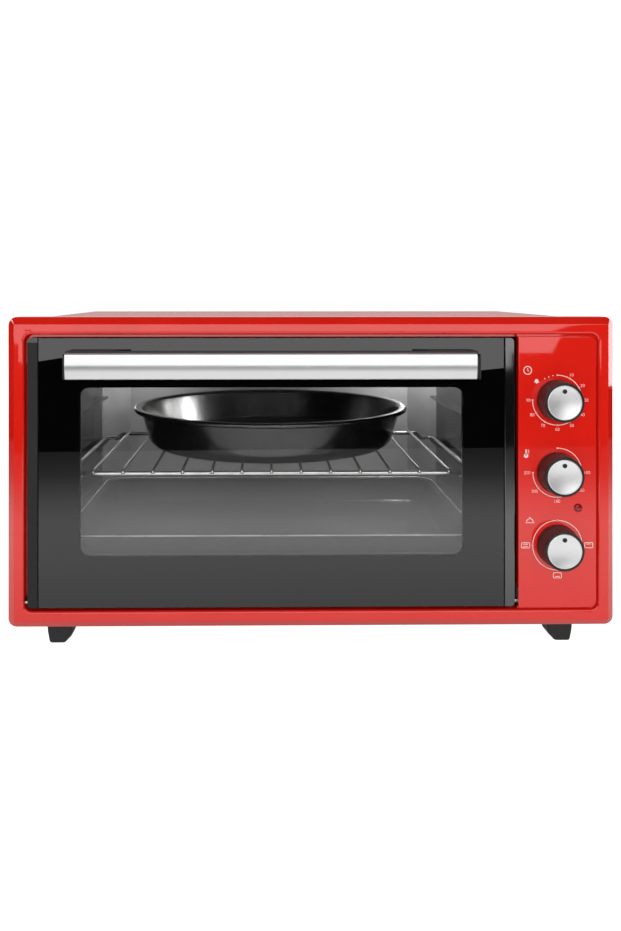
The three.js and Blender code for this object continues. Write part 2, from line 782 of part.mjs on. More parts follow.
function heater(z) {
  const tail = cavityRight + SHEET + HEATER_TAIL;
  const turn = cavityLeft + HEATER_WALL_GAP;
  const corners = [
    at(tail, heaterFront, z),
    at(turn, heaterFront, z),
    at(turn, heaterBack, z),
    at(tail, heaterBack, z),
  ];
  const collarRight = cavityRight - TOUCH_GAP;
  const collars = [heaterFront, heaterBack].map((y) => rodX(
    y, z, HEATER_COLLAR_RADIUS, collarRight - HEATER_COLLAR, collarRight, COARSE));
  return join(tube(bent(corners, HEATER_BEND), HEATER_RADIUS), collars);
}

// Temperature sensor: a bulb by the right wall and its capillary to the thermostat

function thermostatSensor() {
  const z = cavityTop - SENSOR_DROP;
  const x = cavityRight - SENSOR_WALL_GAP;
  const crossing = sensorFront - SENSOR_LENGTH / 3;
  const inBox = shieldX + SHIELD_GAP + CAPILLARY_BEND;
  const backOfUnit = unitFront + THERMOSTAT_DEPTH + TOUCH_GAP;
  const entry = knobMiddleZ + THERMOSTAT_HEIGHT / 3;
  const corners = [
    at(x, sensorFront + CUT_OVERRUN, z),
    at(x, crossing, z),
    at(inBox, crossing, z),
    at(inBox, crossing, entry),
    at(knobX, crossing, entry),
    at(knobX, backOfUnit, entry),
  ];
  const bulb = rodY(x, z, SENSOR_RADIUS, sensorFront, sensorFront + SENSOR_LENGTH, COARSE);
  return join(bulb, tube(bent(corners, CAPILLARY_BEND), CAPILLARY_RADIUS, CAPILLARY_SIDES));
}

// Heat shield between the cavity and the controls, and insulation pads round the cavity

function heatShield() {
  const wall = block(shieldX, shieldX + SHEET, cavityFront, backPanelFront - FLANGE - TOUCH_GAP,
    baseBottom + SHEET + TOUCH_GAP, caseTop - CASE_SHEET - TOUCH_GAP);
  const hole = rodX(sensorFront - SENSOR_LENGTH / 3, cavityTop - SENSOR_DROP, CAPILLARY_HOLE_RADIUS,
    shieldX - CUT_OVERRUN, shieldX + SHEET + CUT_OVERRUN, COARSE);
  return cut(wall, hole);
}

function padTop() {
  return block(cavityLeft, cavityRight, cavityFront + PAD_MARGIN, cornerStart,
    cavityTop + SHEET + PAD_GAP, caseTop - CASE_SHEET - PAD_GAP);
}

function padRear() {
  return block(cavityLeft + CORNER_BACK_RUN, cavityRight - CORNER_BACK_RUN,
    cavityBack + SHEET + PAD_GAP, backPanelFront - FLANGE - PAD_GAP, cavityBottom, cavityTop);
}

function padLeft() {
  return block(-caseInnerHalf + PAD_GAP, cavityLeft - SHEET - PAD_GAP,
    cavityFront + PAD_MARGIN, cornerStart, cavityBottom, cavityTop);
}

// Control panel, the chassis behind it and the three units that the shafts turn

const chassisFront = frontFrame - TOUCH_GAP - SHEET;
const unitFront = frontFrame + TOUCH_GAP;

function knobPlaces() {
  return [
    { name: "timer", z: knobMiddleZ + KNOB_SPACING },
    { name: "thermostat", z: knobMiddleZ },
    { name: "function", z: knobMiddleZ - KNOB_SPACING },
  ];
}

// The panel's outline: square corners on the door's side and round ones at the right
function panelOutline(inset) {
  const left = panelLeft + inset;
  const right = panelRight - inset;
  const low = panelBottom + inset;
  const high = panelTop - inset;
  const radius = OPENING_RADIUS - inset;
  return [
    [left, low],
    ...arc(right - radius, low + radius, radius, 3, 4),
    ...arc(right - radius, high - radius, radius, 0, 1),
    [left, high],
  ];
}

function controlPanel() {
  const body = alongY(panelOutline(0), 0, PANEL_LIP);
  const hollow = alongY(panelOutline(PANEL_FACE), PANEL_FACE, PANEL_LIP + CUT_OVERRUN);
  const holes = knobPlaces().map(({ z }) => rodY(
    knobX, z, SHAFT_RADIUS + SHAFT_HOLE_CLEARANCE, -CUT_OVERRUN, PANEL_LIP));
  const lens = rodY(lensX, lensZ, LENS_RADIUS + TOUCH_GAP, -CUT_OVERRUN, PANEL_LIP);
  const hingeNotch = block(panelLeft - CUT_OVERRUN, panelLeft + BRACKET_THICKNESS + PANEL_FACE,
    PANEL_FACE, PANEL_LIP + CUT_OVERRUN, panelBottom - CUT_OVERRUN, hingeZ + BRACKET_HEIGHT);
  return cut(body, hollow, holes, lens, hingeNotch);
}

const lensX = knobX + LENS_RIGHT_OF_KNOBS;
const lensZ = knobMiddleZ - LENS_BELOW_MIDDLE_KNOB;

function indicatorLens() {
  return turnedY([
    [0, -LENS_RIM_HEIGHT - TOUCH_GAP * 2],
    [LENS_RADIUS / 2, -LENS_RIM_HEIGHT - TOUCH_GAP * 2],
    [LENS_RIM_RADIUS, -LENS_RIM_HEIGHT],
    [LENS_RIM_RADIUS, -TOUCH_GAP],
    [LENS_RADIUS, -TOUCH_GAP],
    [LENS_RADIUS, LENS_LENGTH],
    [0, LENS_LENGTH],
  ], lensX, lensZ, MEDIUM);
}

function controlChassis() {
  const plate = block(
    chassisLeft, chassisRight, chassisFront, chassisFront + SHEET, chassisLow, chassisHigh);
  const bosses = knobPlaces().map(({ z }) => rodY(
    knobX, z, BOSS_RADIUS + TOUCH_GAP, chassisFront - CUT_OVERRUN, chassisFront + CUT_OVERRUN));
  return cut(plate, bosses);
}

// A unit is its housing, a boss through the chassis and a bore for the shaft.
function withBoss(housing, z) {
  const boss = rodY(knobX, z, BOSS_RADIUS, chassisFront - BOSS_LENGTH, unitFront + SHEET);
  const bore = rodY(knobX, z, SHAFT_RADIUS + TOUCH_GAP, chassisFront - BOSS_LENGTH - CUT_OVERRUN,
    unitFront + SHAFT_SEAT + TOUCH_GAP);
  return cut(join(housing, boss), bore);
}

// Contact blades on the back of a unit, at the given places across it
function blades(places, rear) {
  return places.map(([x, z]) => block(
    x - BLADE_THICKNESS / 2, x + BLADE_THICKNESS / 2, rear - BLADE_THICKNESS, rear + BLADE_LENGTH,
    z - BLADE_WIDTH / 2, z + BLADE_WIDTH / 2));
}

function timerUnit(z) {
  const rear = unitFront + TIMER_DEPTH;
  const can = rodY(knobX, z, TIMER_RADIUS, unitFront, rear, FINE);
  const bell = rodY(knobX, z, BELL_RADIUS, rear - SHEET, rear + BELL_DEPTH, FINE);
  return withBoss(join(can, bell), z);
}

function thermostatUnit(z) {
  const rear = unitFront + THERMOSTAT_DEPTH;
  const half = THERMOSTAT_WIDTH / 2;
  const body = block(knobX - half, knobX + half, unitFront, rear,
    z - THERMOSTAT_HEIGHT / 2, z + THERMOSTAT_HEIGHT / 2);
  const places = [[knobX - half / 2, z - half / 2], [knobX + half / 2, z - half / 2]];
  return withBoss(join(body, blades(places, rear)), z);
}

function functionSwitch(z) {
  const rear = unitFront + SWITCH_DEPTH;
  const half = SWITCH_SIDE / 2;
  const body = block(knobX - half, knobX + half, unitFront, rear, z - half, z + half);
  const places = [-1, 1].flatMap((side) => [
    [knobX + (side * half) / 2, z - half / 2],
    [knobX + (side * half) / 2, z + half / 2],
  ]);
  return withBoss(join(body, blades(places, rear)), z);
}

// Knobs: a hollow skirted body, a dished cap in its front and a flatted shaft

const knobBack = -KNOB_LIFT;
const knobFront = knobBack - KNOB_HEIGHT;
const knobRecess = knobFront + KNOB_RECESS;
const knobRingRadius = KNOB_CAP_RADIUS + TOUCH_GAP + KNOB_RIM;
const knobBaseRadius = knobRingRadius + KNOB_FLARE;
const knobBore = knobRecess + KNOB_BORE_FLOOR;

function knobBody(z) {
  const innerRadius = knobRingRadius - KNOB_WALL;
  const body = turnedY([
    [0, knobRecess],
    [KNOB_CAP_RADIUS + TOUCH_GAP, knobRecess],
    [KNOB_CAP_RADIUS + TOUCH_GAP, knobFront + KNOB_WALL / 4],
    [KNOB_CAP_RADIUS + TOUCH_GAP + KNOB_WALL / 4, knobFront],
    [knobRingRadius - KNOB_WALL / 4, knobFront],
    [knobRingRadius, knobFront + KNOB_WALL / 4],
    [knobRingRadius, knobFront + KNOB_WALL],
    [knobBaseRadius, knobBack - KNOB_WALL],
    [knobBaseRadius, knobBack],
    [0, knobBack],
  ], knobX, z);
  const pocket = rodY(knobX, z, innerRadius, knobRecess + KNOB_WALL, knobBack + CUT_OVERRUN, FINE);
  const hub = rodY(knobX, z, KNOB_HUB_RADIUS, knobRecess, knobBack + CUT_OVERRUN);
  const bore = rodY(knobX, z, SHAFT_RADIUS + TOUCH_GAP, knobBore, knobBack + CUT_OVERRUN);
  return cut(body, cut(pocket, hub), bore);
}

function knobCap(z) {
  const rear = knobRecess - TOUCH_GAP;
  const rim = rear - KNOB_CAP_THICKNESS;
  const dish = rim + KNOB_CAP_HOLLOW;
  return turnedY([
    [0, dish],
    [KNOB_CAP_RADIUS / 2, dish - KNOB_CAP_HOLLOW / 4],
    [KNOB_CAP_RADIUS - KNOB_CAP_HOLLOW, rim],
    [KNOB_CAP_RADIUS, rim + KNOB_CAP_HOLLOW],
    [KNOB_CAP_RADIUS, rear],
    [0, rear],
  ], knobX, z);
}

function knobShaft(z) {
  const front = knobBore + TOUCH_GAP;
  const rear = unitFront + SHAFT_SEAT;
  const round = rodY(knobX, z, SHAFT_RADIUS, front, rear);
  const flat = block(knobX - SHAFT_RADIUS, knobX + SHAFT_RADIUS, front - CUT_OVERRUN, knobBack + KNOB_LIFT,
    z + SHAFT_RADIUS - SHAFT_FLAT, z + SHAFT_RADIUS + CUT_OVERRUN);
  return cut(round, flat);
}

// Door: two panes in a pressed frame between two side trims, with a seal behind

const paneFront = GLASS_INSET;
const paneRear = GLASS_INSET + GLASS_THICKNESS;
const frameFront = paneRear + TOUCH_GAP;
const glassLeft = doorLeft + TRIM_WIDTH + TOUCH_GAP;
const glassRight = doorRight - TRIM_WIDTH - TOUCH_GAP;
const windowLeft = doorLeft + WINDOW_SIDE_MARGIN;
const windowRight = doorRight - WINDOW_SIDE_MARGIN;
const windowLow = doorBottom + WINDOW_BOTTOM_MARGIN;
const windowHigh = doorTop - WINDOW_TOP_MARGIN;

function doorGlass() {
  const pane = block(glassLeft, glassRight, paneFront, paneRear, doorBottom, doorTop);
  const holes = handleScrewPlaces().map(({ x, z }) => rodY(
    x, z, SCREW_RADIUS + SCREW_CLEARANCE, paneFront - CUT_OVERRUN, paneRear + CUT_OVERRUN, COARSE));
  return cut(pane, holes);
}

// A rectangle round the window, grown by the given margin
function windowRect(margin) {
  return [windowLeft - margin, windowRight + margin, windowLow - margin, windowHigh + margin];
}

function doorFrame() {
  const collar = WINDOW_MARGIN + PANE_LAP;
  const outer = block(glassLeft, glassRight, frameFront, DOOR_DEPTH, doorBottom, doorTop);
  const backSheet = DOOR_DEPTH - DOOR_FRAME_WALL;
  const hollow = block(
    glassLeft + DOOR_FRAME_WALL, glassRight - DOOR_FRAME_WALL, frameFront - CUT_OVERRUN, backSheet,
    doorBottom + DOOR_FRAME_WALL, doorTop - DOOR_FRAME_WALL);
  const collarBlock = cut(
    slab(windowRect(collar + DOOR_FRAME_WALL), frameFront, DOOR_DEPTH),
    slab(windowRect(collar), frameFront - CUT_OVERRUN, backSheet));
  const shell = join(cut(outer, hollow), collarBlock);
  const view = alongY(roundedRect(...windowRect(WINDOW_MARGIN), WINDOW_RADIUS),
    frameFront, DOOR_DEPTH + CUT_OVERRUN);
  return cut(shell, view);
}

function slab([left, right, low, high], front, rear) {
  return block(left, right, front, rear, low, high);
}

function doorInnerGlass() {
  const rear = DOOR_DEPTH - DOOR_FRAME_WALL - TOUCH_GAP;
  return slab(windowRect(WINDOW_MARGIN + PANE_LAP - TOUCH_GAP), rear - GLASS_THICKNESS, rear);
}

// A side trim: a bar with its outer front edge rounded, and a hole for the hinge pin
function doorTrim(side) {
  const outer = side < 0 ? doorLeft : doorRight;
  const inner = outer - side * TRIM_WIDTH;
  const corner = outer - side * TRIM_RADIUS;
  const rounded = side < 0
    ? arc(corner, TRIM_RADIUS, TRIM_RADIUS, 2, 3)
    : arc(corner, TRIM_RADIUS, TRIM_RADIUS, 4, 3);
  const outline = [[outer, DOOR_DEPTH], ...rounded, [inner, 0], [inner, DOOR_DEPTH]];
  const bar = alongZ(outline, doorBottom, doorTop);
  const hole = rodX(HINGE_AXIS_DEPTH, hingeZ, HINGE_PIN_RADIUS + TOUCH_GAP,
    outer - TRIM_WIDTH * 2, outer + TRIM_WIDTH * 2);
  return cut(bar, hole);
}

function doorSeal() {
  const front = DOOR_DEPTH + TOUCH_GAP;
  const rear = frontFrame - TOUCH_GAP;
  const ring = (grow, from, to) => block(
    cavityLeft - grow, cavityRight + grow, from, to, cavityBottom - grow, cavityTop + grow);
  return cut(
    ring(SEAL_MARGIN + SEAL_WIDTH, front, rear),
    ring(SEAL_MARGIN, front - CUT_OVERRUN, rear + CUT_OVERRUN));
}

// Hinges: a pin in each end of the door, and a bracket on the front frame that it turns in

const eyeRadius = HINGE_AXIS_DEPTH - BEZEL_WALL - TOUCH_GAP;

function hingePin(side) {
  const outer = side < 0 ? doorLeft : doorRight;
  const inner = outer - side * (TRIM_WIDTH - TOUCH_GAP);
  const far = inner + side * HINGE_PIN_LENGTH;
  return rodX(HINGE_AXIS_DEPTH, hingeZ, HINGE_PIN_RADIUS, Math.min(inner, far), Math.max(inner, far));
}

function hingeBracket(side) {
  const outer = side < 0 ? doorLeft : doorRight;
  const near = outer + side * DOOR_GAP;
  const far = near + side * BRACKET_THICKNESS;
  const low = hingeZ - eyeRadius;
  const high = low + BRACKET_HEIGHT;
  const ear = block(Math.min(near, far), Math.max(near, far), HINGE_AXIS_DEPTH, frontFrame - TOUCH_GAP,
    low, high);
  const tabEdge = far - side * BRACKET_TAB;
  const tab = block(Math.min(far, tabEdge), Math.max(far, tabEdge),
    frontFrame - TOUCH_GAP - SHEET, frontFrame - TOUCH_GAP, low, high);
  const eye = rodX(HINGE_AXIS_DEPTH, hingeZ, eyeRadius, Math.min(near, far), Math.max(near, far));
  const hole = rodX(HINGE_AXIS_DEPTH, hingeZ, HINGE_PIN_RADIUS + TOUCH_GAP,
    Math.min(near, far) - CUT_OVERRUN, Math.max(near, far) + CUT_OVERRUN);
  return cut(join(ear, tab, eye), hole);
}

// Handle: a bright channel over a dark bar that stands on two flared posts

const handleHalf = (doorRight - doorLeft) / 2 - HANDLE_END_MARGIN;
const handleZ = doorTop - HANDLE_BELOW_DOOR_TOP;
const handleLow = handleZ - HANDLE_HEIGHT / 2;
const handleHigh = handleZ + HANDLE_HEIGHT / 2;
const coverRear = HANDLE_COVER_DEPTH - HANDLE_STANDOFF;
const barRear = coverRear + HANDLE_BACK_DEPTH;

function handleCover() {
  const outline = channelOutline(0, HANDLE_COVER_RADIUS);
  const inner = channelOutline(HANDLE_COVER_WALL, HANDLE_COVER_RADIUS - HANDLE_COVER_WALL);
  return alongX([...outline, ...inner.reverse()], doorX - handleHalf, doorX + handleHalf);
}

// The channel's line in y and z, open at the back
function channelOutline(inset, radius) {
  const front = inset - HANDLE_STANDOFF;
  return [
    [coverRear, handleLow + inset],
    ...arc(front + radius, handleLow + inset + radius, radius, 3, 2),
    ...arc(front + radius, handleHigh - inset - radius, radius, 2, 1),
    [coverRear, handleHigh - inset],
  ];
}

// The dark bar's line in y and z: its nose fills the channel, and its back stands above it.
function barOutline() {
  const fill = HANDLE_COVER_WALL + TOUCH_GAP;
  const shoulder = coverRear + TOUCH_GAP;
  const top = handleHigh + HANDLE_BACK_RISE;
  const nose = channelOutline(fill, HANDLE_COVER_RADIUS - fill).slice(1, -1);
  return [
    [barRear, handleLow],
    [shoulder, handleLow],
    [shoulder, handleLow + fill],
    ...nose,
    [shoulder, handleHigh - fill],
    [shoulder, top],
    [barRear, top],
  ];
}

function handleBody() {
  const tip = handleHalf + (HANDLE_END_CAP + TOUCH_GAP) / 2;
  const bar = alongX(barOutline(), doorX - tip, doorX + tip);
  const endOutline = [...channelOutline(0, HANDLE_COVER_RADIUS).slice(1, -1),
    [barRear - SHEET, handleHigh], [barRear - SHEET, handleLow]];
  const ends = [-1, 1].map((side) => {
    const inner = doorX + side * (handleHalf + TOUCH_GAP);
    const outer = doorX + side * (handleHalf + HANDLE_END_CAP);
    return alongX(endOutline, Math.min(inner, outer), Math.max(inner, outer));
  });
  const bores = handleScrewPlaces().map(({ x, z }) => rodY(
    x, z, SCREW_RADIUS + TOUCH_GAP, -HANDLE_SCREW_BITE - TOUCH_GAP, paneFront + CUT_OVERRUN, COARSE));
  return cut(join(bar, ends, posts()), bores);
}

// Each post flares towards the middle of the handle as it nears the glass.
function posts() {
  const rear = paneFront - TOUCH_GAP;
  return [-1, 1].map((side) => {
    const outer = doorX + side * (handleHalf + HANDLE_END_CAP / 2);
    const narrow = outer - side * POST_WIDTH;
    const wide = narrow - side * POST_FLARE;
    const outline = [[outer, rear], [wide, rear], [narrow, barRear - SHEET], [outer, barRear - SHEET]];
    return alongZ(outline, handleHigh + HANDLE_BACK_RISE - POST_HEIGHT, handleHigh + HANDLE_BACK_RISE);
  });
}

function handleScrewPlaces() {
  const reach = handleHalf - POST_WIDTH / 2;
  const z = handleHigh + HANDLE_BACK_RISE - POST_HEIGHT / 2;
  return [
    { x: doorX - reach, z, name: "left" },
    { x: doorX + reach, z, name: "right" },
  ];
}

// Wire rack: rails whose middle is raised, side rails on the runners, and wires from front to back

const rackSideZ = runnerTop(1) + TOUCH_GAP + RAIL_RADIUS;
const rackRailZ = rackSideZ + RAIL_RISE;
const rackWireZ = rackRailZ + RAIL_RADIUS + WIRE_RADIUS - WELD_SINK;
const rackHalf = cavityHalf - RACK_SIDE_GAP;
const rackFront = cavityFront + RACK_FRONT_MARGIN;
const rackBack = cavityBack - RACK_BACK_MARGIN;

// A front or rear rail whose ends turn along the side rails; away points into the rack.
function rackRail(y, away) {
  const half = rackHalf;
  const leg = RAIL_CORNER * 2;
  const riseOut = half - RAIL_RISE_START;
  const riseIn = riseOut - RAIL_RISE_RUN;
  const corners = [
    at(doorX - half, y + away * leg, rackSideZ),
    at(doorX - half, y, rackSideZ),
    at(doorX - riseOut, y, rackSideZ),
    at(doorX - riseIn, y, rackRailZ),
    at(doorX + riseIn, y, rackRailZ),
    at(doorX + riseOut, y, rackSideZ),
    at(doorX + half, y, rackSideZ),
    at(doorX + half, y + away * leg, rackSideZ),
  ];
  return tube(bent(corners, RAIL_CORNER, BEND_STEPS), RAIL_RADIUS, RAIL_SIDES);
}

function wireRack() {
  const sides = [-1, 1].map((side) => rodY(
    doorX + side * rackHalf, rackSideZ, SIDE_RAIL_RADIUS,
    rackFront + RAIL_CORNER + SIDE_RAIL_LAP, rackBack - RAIL_CORNER - SIDE_RAIL_LAP, RAIL_SIDES));
  const wires = [];
  for (let i = 0; i < WIRE_COUNT; i++) {
    const x = doorX + (i / (WIRE_COUNT - 1) - 1 / 2) * (rackHalf - WIRE_SIDE_MARGIN) * 2;
    const front = rackFront - RAIL_RADIUS - WIRE_RADIUS + WELD_SINK;
    const back = rackBack + RAIL_RADIUS + WIRE_RADIUS - WELD_SINK;
    const corners = [
      at(x, front, rackWireZ - WIRE_STUB),
      at(x, front, rackWireZ),
      at(x, back, rackWireZ),
      at(x, back, rackWireZ - WIRE_STUB),
    ];
    wires.push(tube(bent(corners, WIRE_BEND, BEND_STEPS), WIRE_RADIUS, WIRE_SIDES));
  }
  return join(rackRail(rackFront, 1), rackRail(rackBack, -1), sides, wires);
}

// Round pan on the rack: a flat base, a rounded foot, a flared wall and a rolled lip

const panBottom = rackWireZ + WIRE_RADIUS + TOUCH_GAP;
const panTop = panBottom + PAN_HEIGHT;
const panFront = cavityFront + PAN_FRONT_GAP;
const panBack = cavityBack - PAN_BACK_GAP;
const panRimRadius = (panBack - panFront) / 2;
const panWallTopRadius = panRimRadius - PAN_RIM;
const panBaseRadius = panWallTopRadius - PAN_FLARE;

// The round foot between the base and the wall, from the base out
function panFoot(inset) {
  const radius = PAN_BASE_ROUND - inset;
  const centre = [panBaseRadius - PAN_BASE_ROUND, panBottom + PAN_BASE_ROUND];
  return arc(...centre, radius, -1, 0, PAN_ROUND_STEPS);
}

function roundPan() {
  const lipOuter = panRimRadius - PAN_LIP / 2;
  const outside = [
    [0, panBottom],
    ...panFoot(0),
    [panWallTopRadius, panTop - PAN_LIP],
    [lipOuter, panTop - PAN_LIP],
    [panRimRadius, panTop - PAN_LIP / 2],
    [lipOuter, panTop],
  ];
  const inside = [
    [panWallTopRadius - PAN_SHEET, panTop],
    [panWallTopRadius - PAN_SHEET, panTop - PAN_LIP],
    ...panFoot(PAN_SHEET).reverse(),
    [0, panBottom + PAN_SHEET],
  ];
  return turnedZ([...outside, ...inside], doorX, (panFront + panBack) / 2, PAN_SIDES);
}

// Baking tray: a flat lip that rests on the lowest runners, and sloping walls

const trayLipTop = runnerTop(0) + TOUCH_GAP + TRAY_SHEET;
const trayBottom = trayLipTop - TRAY_DEPTH;
const trayFront = cavityFront + TRAY_FRONT_MARGIN;
const trayBack = cavityBack - TRAY_BACK_MARGIN;

function trayRing(inset, z) {
  const half = cavityHalf - TRAY_SIDE_GAP - inset;
  const radius = TRAY_RADIUS - inset / 2;
  return roundedRect(doorX - half, doorX + half, trayFront + inset, trayBack - inset, radius)
    .map(([x, y]) => at(x, y, z));
}

function bakingTray() {
  const wallTop = TRAY_LIP;
  const wallFoot = TRAY_LIP + TRAY_SLOPE;
  return loft([
    trayRing(wallFoot + TRAY_SHEET, trayBottom + TRAY_SHEET),
    trayRing(wallTop + TRAY_SHEET, trayLipTop),
    trayRing(0, trayLipTop),
    trayRing(0, trayLipTop - TRAY_SHEET),
    trayRing(wallTop, trayLipTop - TRAY_SHEET),
    trayRing(wallFoot, trayBottom),
  ]);
}

// Finishes: colour, roughness and metalness
const FINISHES = {
  red_paint: [0xd7201a, 0.25, 0],
  black_paint: [0x1c1c1c, 0.5, 0],
  zinc_sheet: [0x9a9c9e, 0.45, 0.9],
  enamel: [0x5c5c5e, 0.35, 0.1],
  dark_trim: [0x383838, 0.4, 0.4],
  glass: [0x2a2a2c, 0.05, 0],
  clear_glass: [0xcfd4d4, 0.05, 0],
  bright_steel: [0xd8d8d8, 0.25, 1],
  black_plastic: [0x161616, 0.45, 0],
  red_lens: [0x5a0a0a, 0.15, 0],
  rubber: [0x2a2a2a, 0.8, 0],
  wool: [0xe6dfae, 0.95, 0],
  pale_plastic: [0xe4e0d4, 0.5, 0],
  heater_steel: [0x6a665f, 0.5, 0.8],
  chrome_wire: [0xc4c4c4, 0.2, 1],
  pan_coating: [0x141414, 0.2, 0],
  tray_enamel: [0x3c3c3e, 0.25, 0],
};

const oven = new THREE.Group();

function add(name, solid, finish) {
  const [color, roughness, metalness] = FINISHES[finish];
  const material = new THREE.MeshStandardMaterial({ color, roughness, metalness });
  const mesh = new THREE.Mesh(geometryOf(solid), material);
  mesh.name = name;
  oven.add(mesh);
}

add("front_bezel", frontBezel(), "red_paint");
add("front_frame", frontFramePlate(), "black_paint");
add("outer_case", outerCase(), "red_paint");
add("base_plate", basePlate(), "zinc_sheet");
add("back_panel", backPanel(), "zinc_sheet");
add("cavity_left_wall", cavitySide(-1), "enamel");
add("cavity_right_wall", cavityRightWall(), "enamel");
add("cavity_back_wall", cavityBackWall(), "enamel");
add("cavity_roof", cavityLid(cavityTop + TOUCH_GAP, cavityTop + TOUCH_GAP + SHEET), "enamel");
add("cavity_floor", cavityLid(cavityBottom - TOUCH_GAP - SHEET, cavityBottom - TOUCH_GAP), "enamel");
add("heat_shield", heatShield(), "zinc_sheet");
add("insulation_top", padTop(), "wool");
add("insulation_rear", padRear(), "wool");
add("insulation_left", padLeft(), "wool");
heaterHeights().forEach((z, i) => {
  add(["upper_heater", "lower_heater"][i], heater(z), "heater_steel");
});
add("thermostat_sensor", thermostatSensor(), "bright_steel");
for (const place of footPlaces()) add(`foot_${place.name}`, foot(place), "rubber");
for (const place of backScrewPlaces()) {
  add(`back_screw_${place.name}`, screw(place.x, place.z, rearFace, BACK_SCREW_LENGTH, 1), "zinc_sheet");
}
add("cord_gland", cordGland(), "black_plastic");
add("terminal_block", terminalBlock(), "pale_plastic");

add("control_panel", controlPanel(), "red_paint");
add("control_chassis", controlChassis(), "zinc_sheet");
add("indicator_lens", indicatorLens(), "red_lens");
const units = [
  ["timer_unit", timerUnit],
  ["thermostat_unit", thermostatUnit],
  ["function_switch", functionSwitch],
];
knobPlaces().forEach(({ name, z }, i) => {
  const [unitName, unit] = units[i];
  add(unitName, unit(z), "zinc_sheet");
  add(`${name}_knob`, knobBody(z), "black_plastic");
  add(`${name}_knob_cap`, knobCap(z), "bright_steel");
  add(`${name}_shaft`, knobShaft(z), "bright_steel");
});

add("door_glass", doorGlass(), "glass");
add("door_frame", doorFrame(), "black_paint");
add("door_inner_glass", doorInnerGlass(), "clear_glass");
add("door_seal", doorSeal(), "rubber");
for (const [side, name] of [[-1, "left"], [1, "right"]]) {
  add(`door_trim_${name}`, doorTrim(side), "dark_trim");
  add(`hinge_pin_${name}`, hingePin(side), "bright_steel");
  add(`hinge_bracket_${name}`, hingeBracket(side), "zinc_sheet");
}
add("handle_cover", handleCover(), "bright_steel");
add("handle_body", handleBody(), "black_plastic");
for (const { x, z, name } of handleScrewPlaces()) {
  add(`handle_screw_${name}`, screw(x, z, paneRear, HANDLE_SCREW_BITE + paneRear, 1), "zinc_sheet");
}

add("wire_rack", wireRack(), "chrome_wire");
add("round_pan", roundPan(), "pan_coating");
add("baking_tray", bakingTray(), "tray_enamel");

// The origin is under the middle of the whole, at table height.
const reachRear = rearFace + TOUCH_GAP + Math.max(SCREW_HEAD_HEIGHT, GLAND_FLANGE);
oven.position.y = (HANDLE_STANDOFF - reachRear) / 2;

export default oven;
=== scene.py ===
import math

import bmesh
import bpy
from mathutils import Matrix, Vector

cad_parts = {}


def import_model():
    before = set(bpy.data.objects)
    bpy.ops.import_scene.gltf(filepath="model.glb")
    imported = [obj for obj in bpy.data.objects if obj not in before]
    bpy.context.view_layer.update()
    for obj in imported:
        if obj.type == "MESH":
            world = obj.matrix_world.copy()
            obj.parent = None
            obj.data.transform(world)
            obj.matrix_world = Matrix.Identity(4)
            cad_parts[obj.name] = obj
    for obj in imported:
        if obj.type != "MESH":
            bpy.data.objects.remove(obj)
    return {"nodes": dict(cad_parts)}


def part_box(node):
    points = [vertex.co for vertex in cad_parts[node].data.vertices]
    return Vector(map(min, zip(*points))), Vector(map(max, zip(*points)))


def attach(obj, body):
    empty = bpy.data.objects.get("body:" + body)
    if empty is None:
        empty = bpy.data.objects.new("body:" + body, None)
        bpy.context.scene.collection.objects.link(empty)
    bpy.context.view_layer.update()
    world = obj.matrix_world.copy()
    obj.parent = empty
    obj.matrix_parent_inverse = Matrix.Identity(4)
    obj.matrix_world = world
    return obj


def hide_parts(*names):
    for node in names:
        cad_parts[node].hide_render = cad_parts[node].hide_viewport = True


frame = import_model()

# Looks for a table-top electric oven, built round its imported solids.
# Lengths are millimetres as drawn: x to the right, y from the front face to the back, z up from the table.

MM = 0.001
X, Y, Z = range(3)
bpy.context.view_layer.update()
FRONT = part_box("front_bezel")[0].y


def at(x, y, z):
    """A drawn point in the frame's metres."""
    return Vector((x * MM, FRONT + y * MM, z * MM))


def extent(node):
    """A CAD node's box as drawn: left, right, front, rear, low, high."""
    low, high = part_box(node)
    return [value / MM for value in (low.x, high.x, low.y - FRONT, high.y - FRONT, low.z, high.z)]


def upright(node):
    """The same as the left, right, low and high sides, and then the front and the rear."""
    left, right, front, rear, low, high = extent(node)
    return (left, right, low, high), front, rear


def middle(node):
    """The x, y and z in the middle of a CAD node's box."""
    sides = extent(node)
    return [(low + high) / 2 for low, high in zip(sides[::2], sides[1::2])]


# Outlines, as lists of two-number points


def arc(u, v, radius, start, end, steps):
    """Points about u, v; the angles are in degrees, counted from the u axis."""
    points = []
    for i in range(steps + 1):
        angle = math.radians(start + (end - start) * i / steps)
        points.append((u + radius * math.cos(angle), v + radius * math.sin(angle)))
    return points


def rounded(left, right, low, high, radius, steps=8):
    """A rectangle with round corners. A list of radii starts at the upper right and goes on by the left."""
    radii = radius if isinstance(radius, list) else [radius] * 4
    corners = [(right, high, -1, -1), (left, high, 1, -1), (left, low, 1, 1), (right, low, -1, 1)]
    points = []
    for i, (u, v, inward_u, inward_v) in enumerate(corners):
        r = radii[i]
        points += arc(u + inward_u * r, v + inward_v * r, r, 90 * i, 90 * (i + 1), steps)
    return points


def drawn_in(sides, inset, radius, steps=8):
    """A rectangle with round corners, drawn in from its left, right, low and high sides."""
    left, right, low, high = sides
    return rounded(left + inset, right - inset, low + inset, high - inset, radius, steps)


def circle(u, v, radius, steps):
    return arc(u, v, radius, 0, 360, steps)[:-1]


def rectangle(left, right, low, high):
    return [(left, low), (right, low), (right, high), (left, high)]


def set_at(outline, axis, place):
    """An outline's points in space, all at one place along the axis across it."""
    return [(*point[:axis], place, *point[axis:]) for point in outline]


# Solids, as (points, faces)

RIB_DEPTH = 0.45


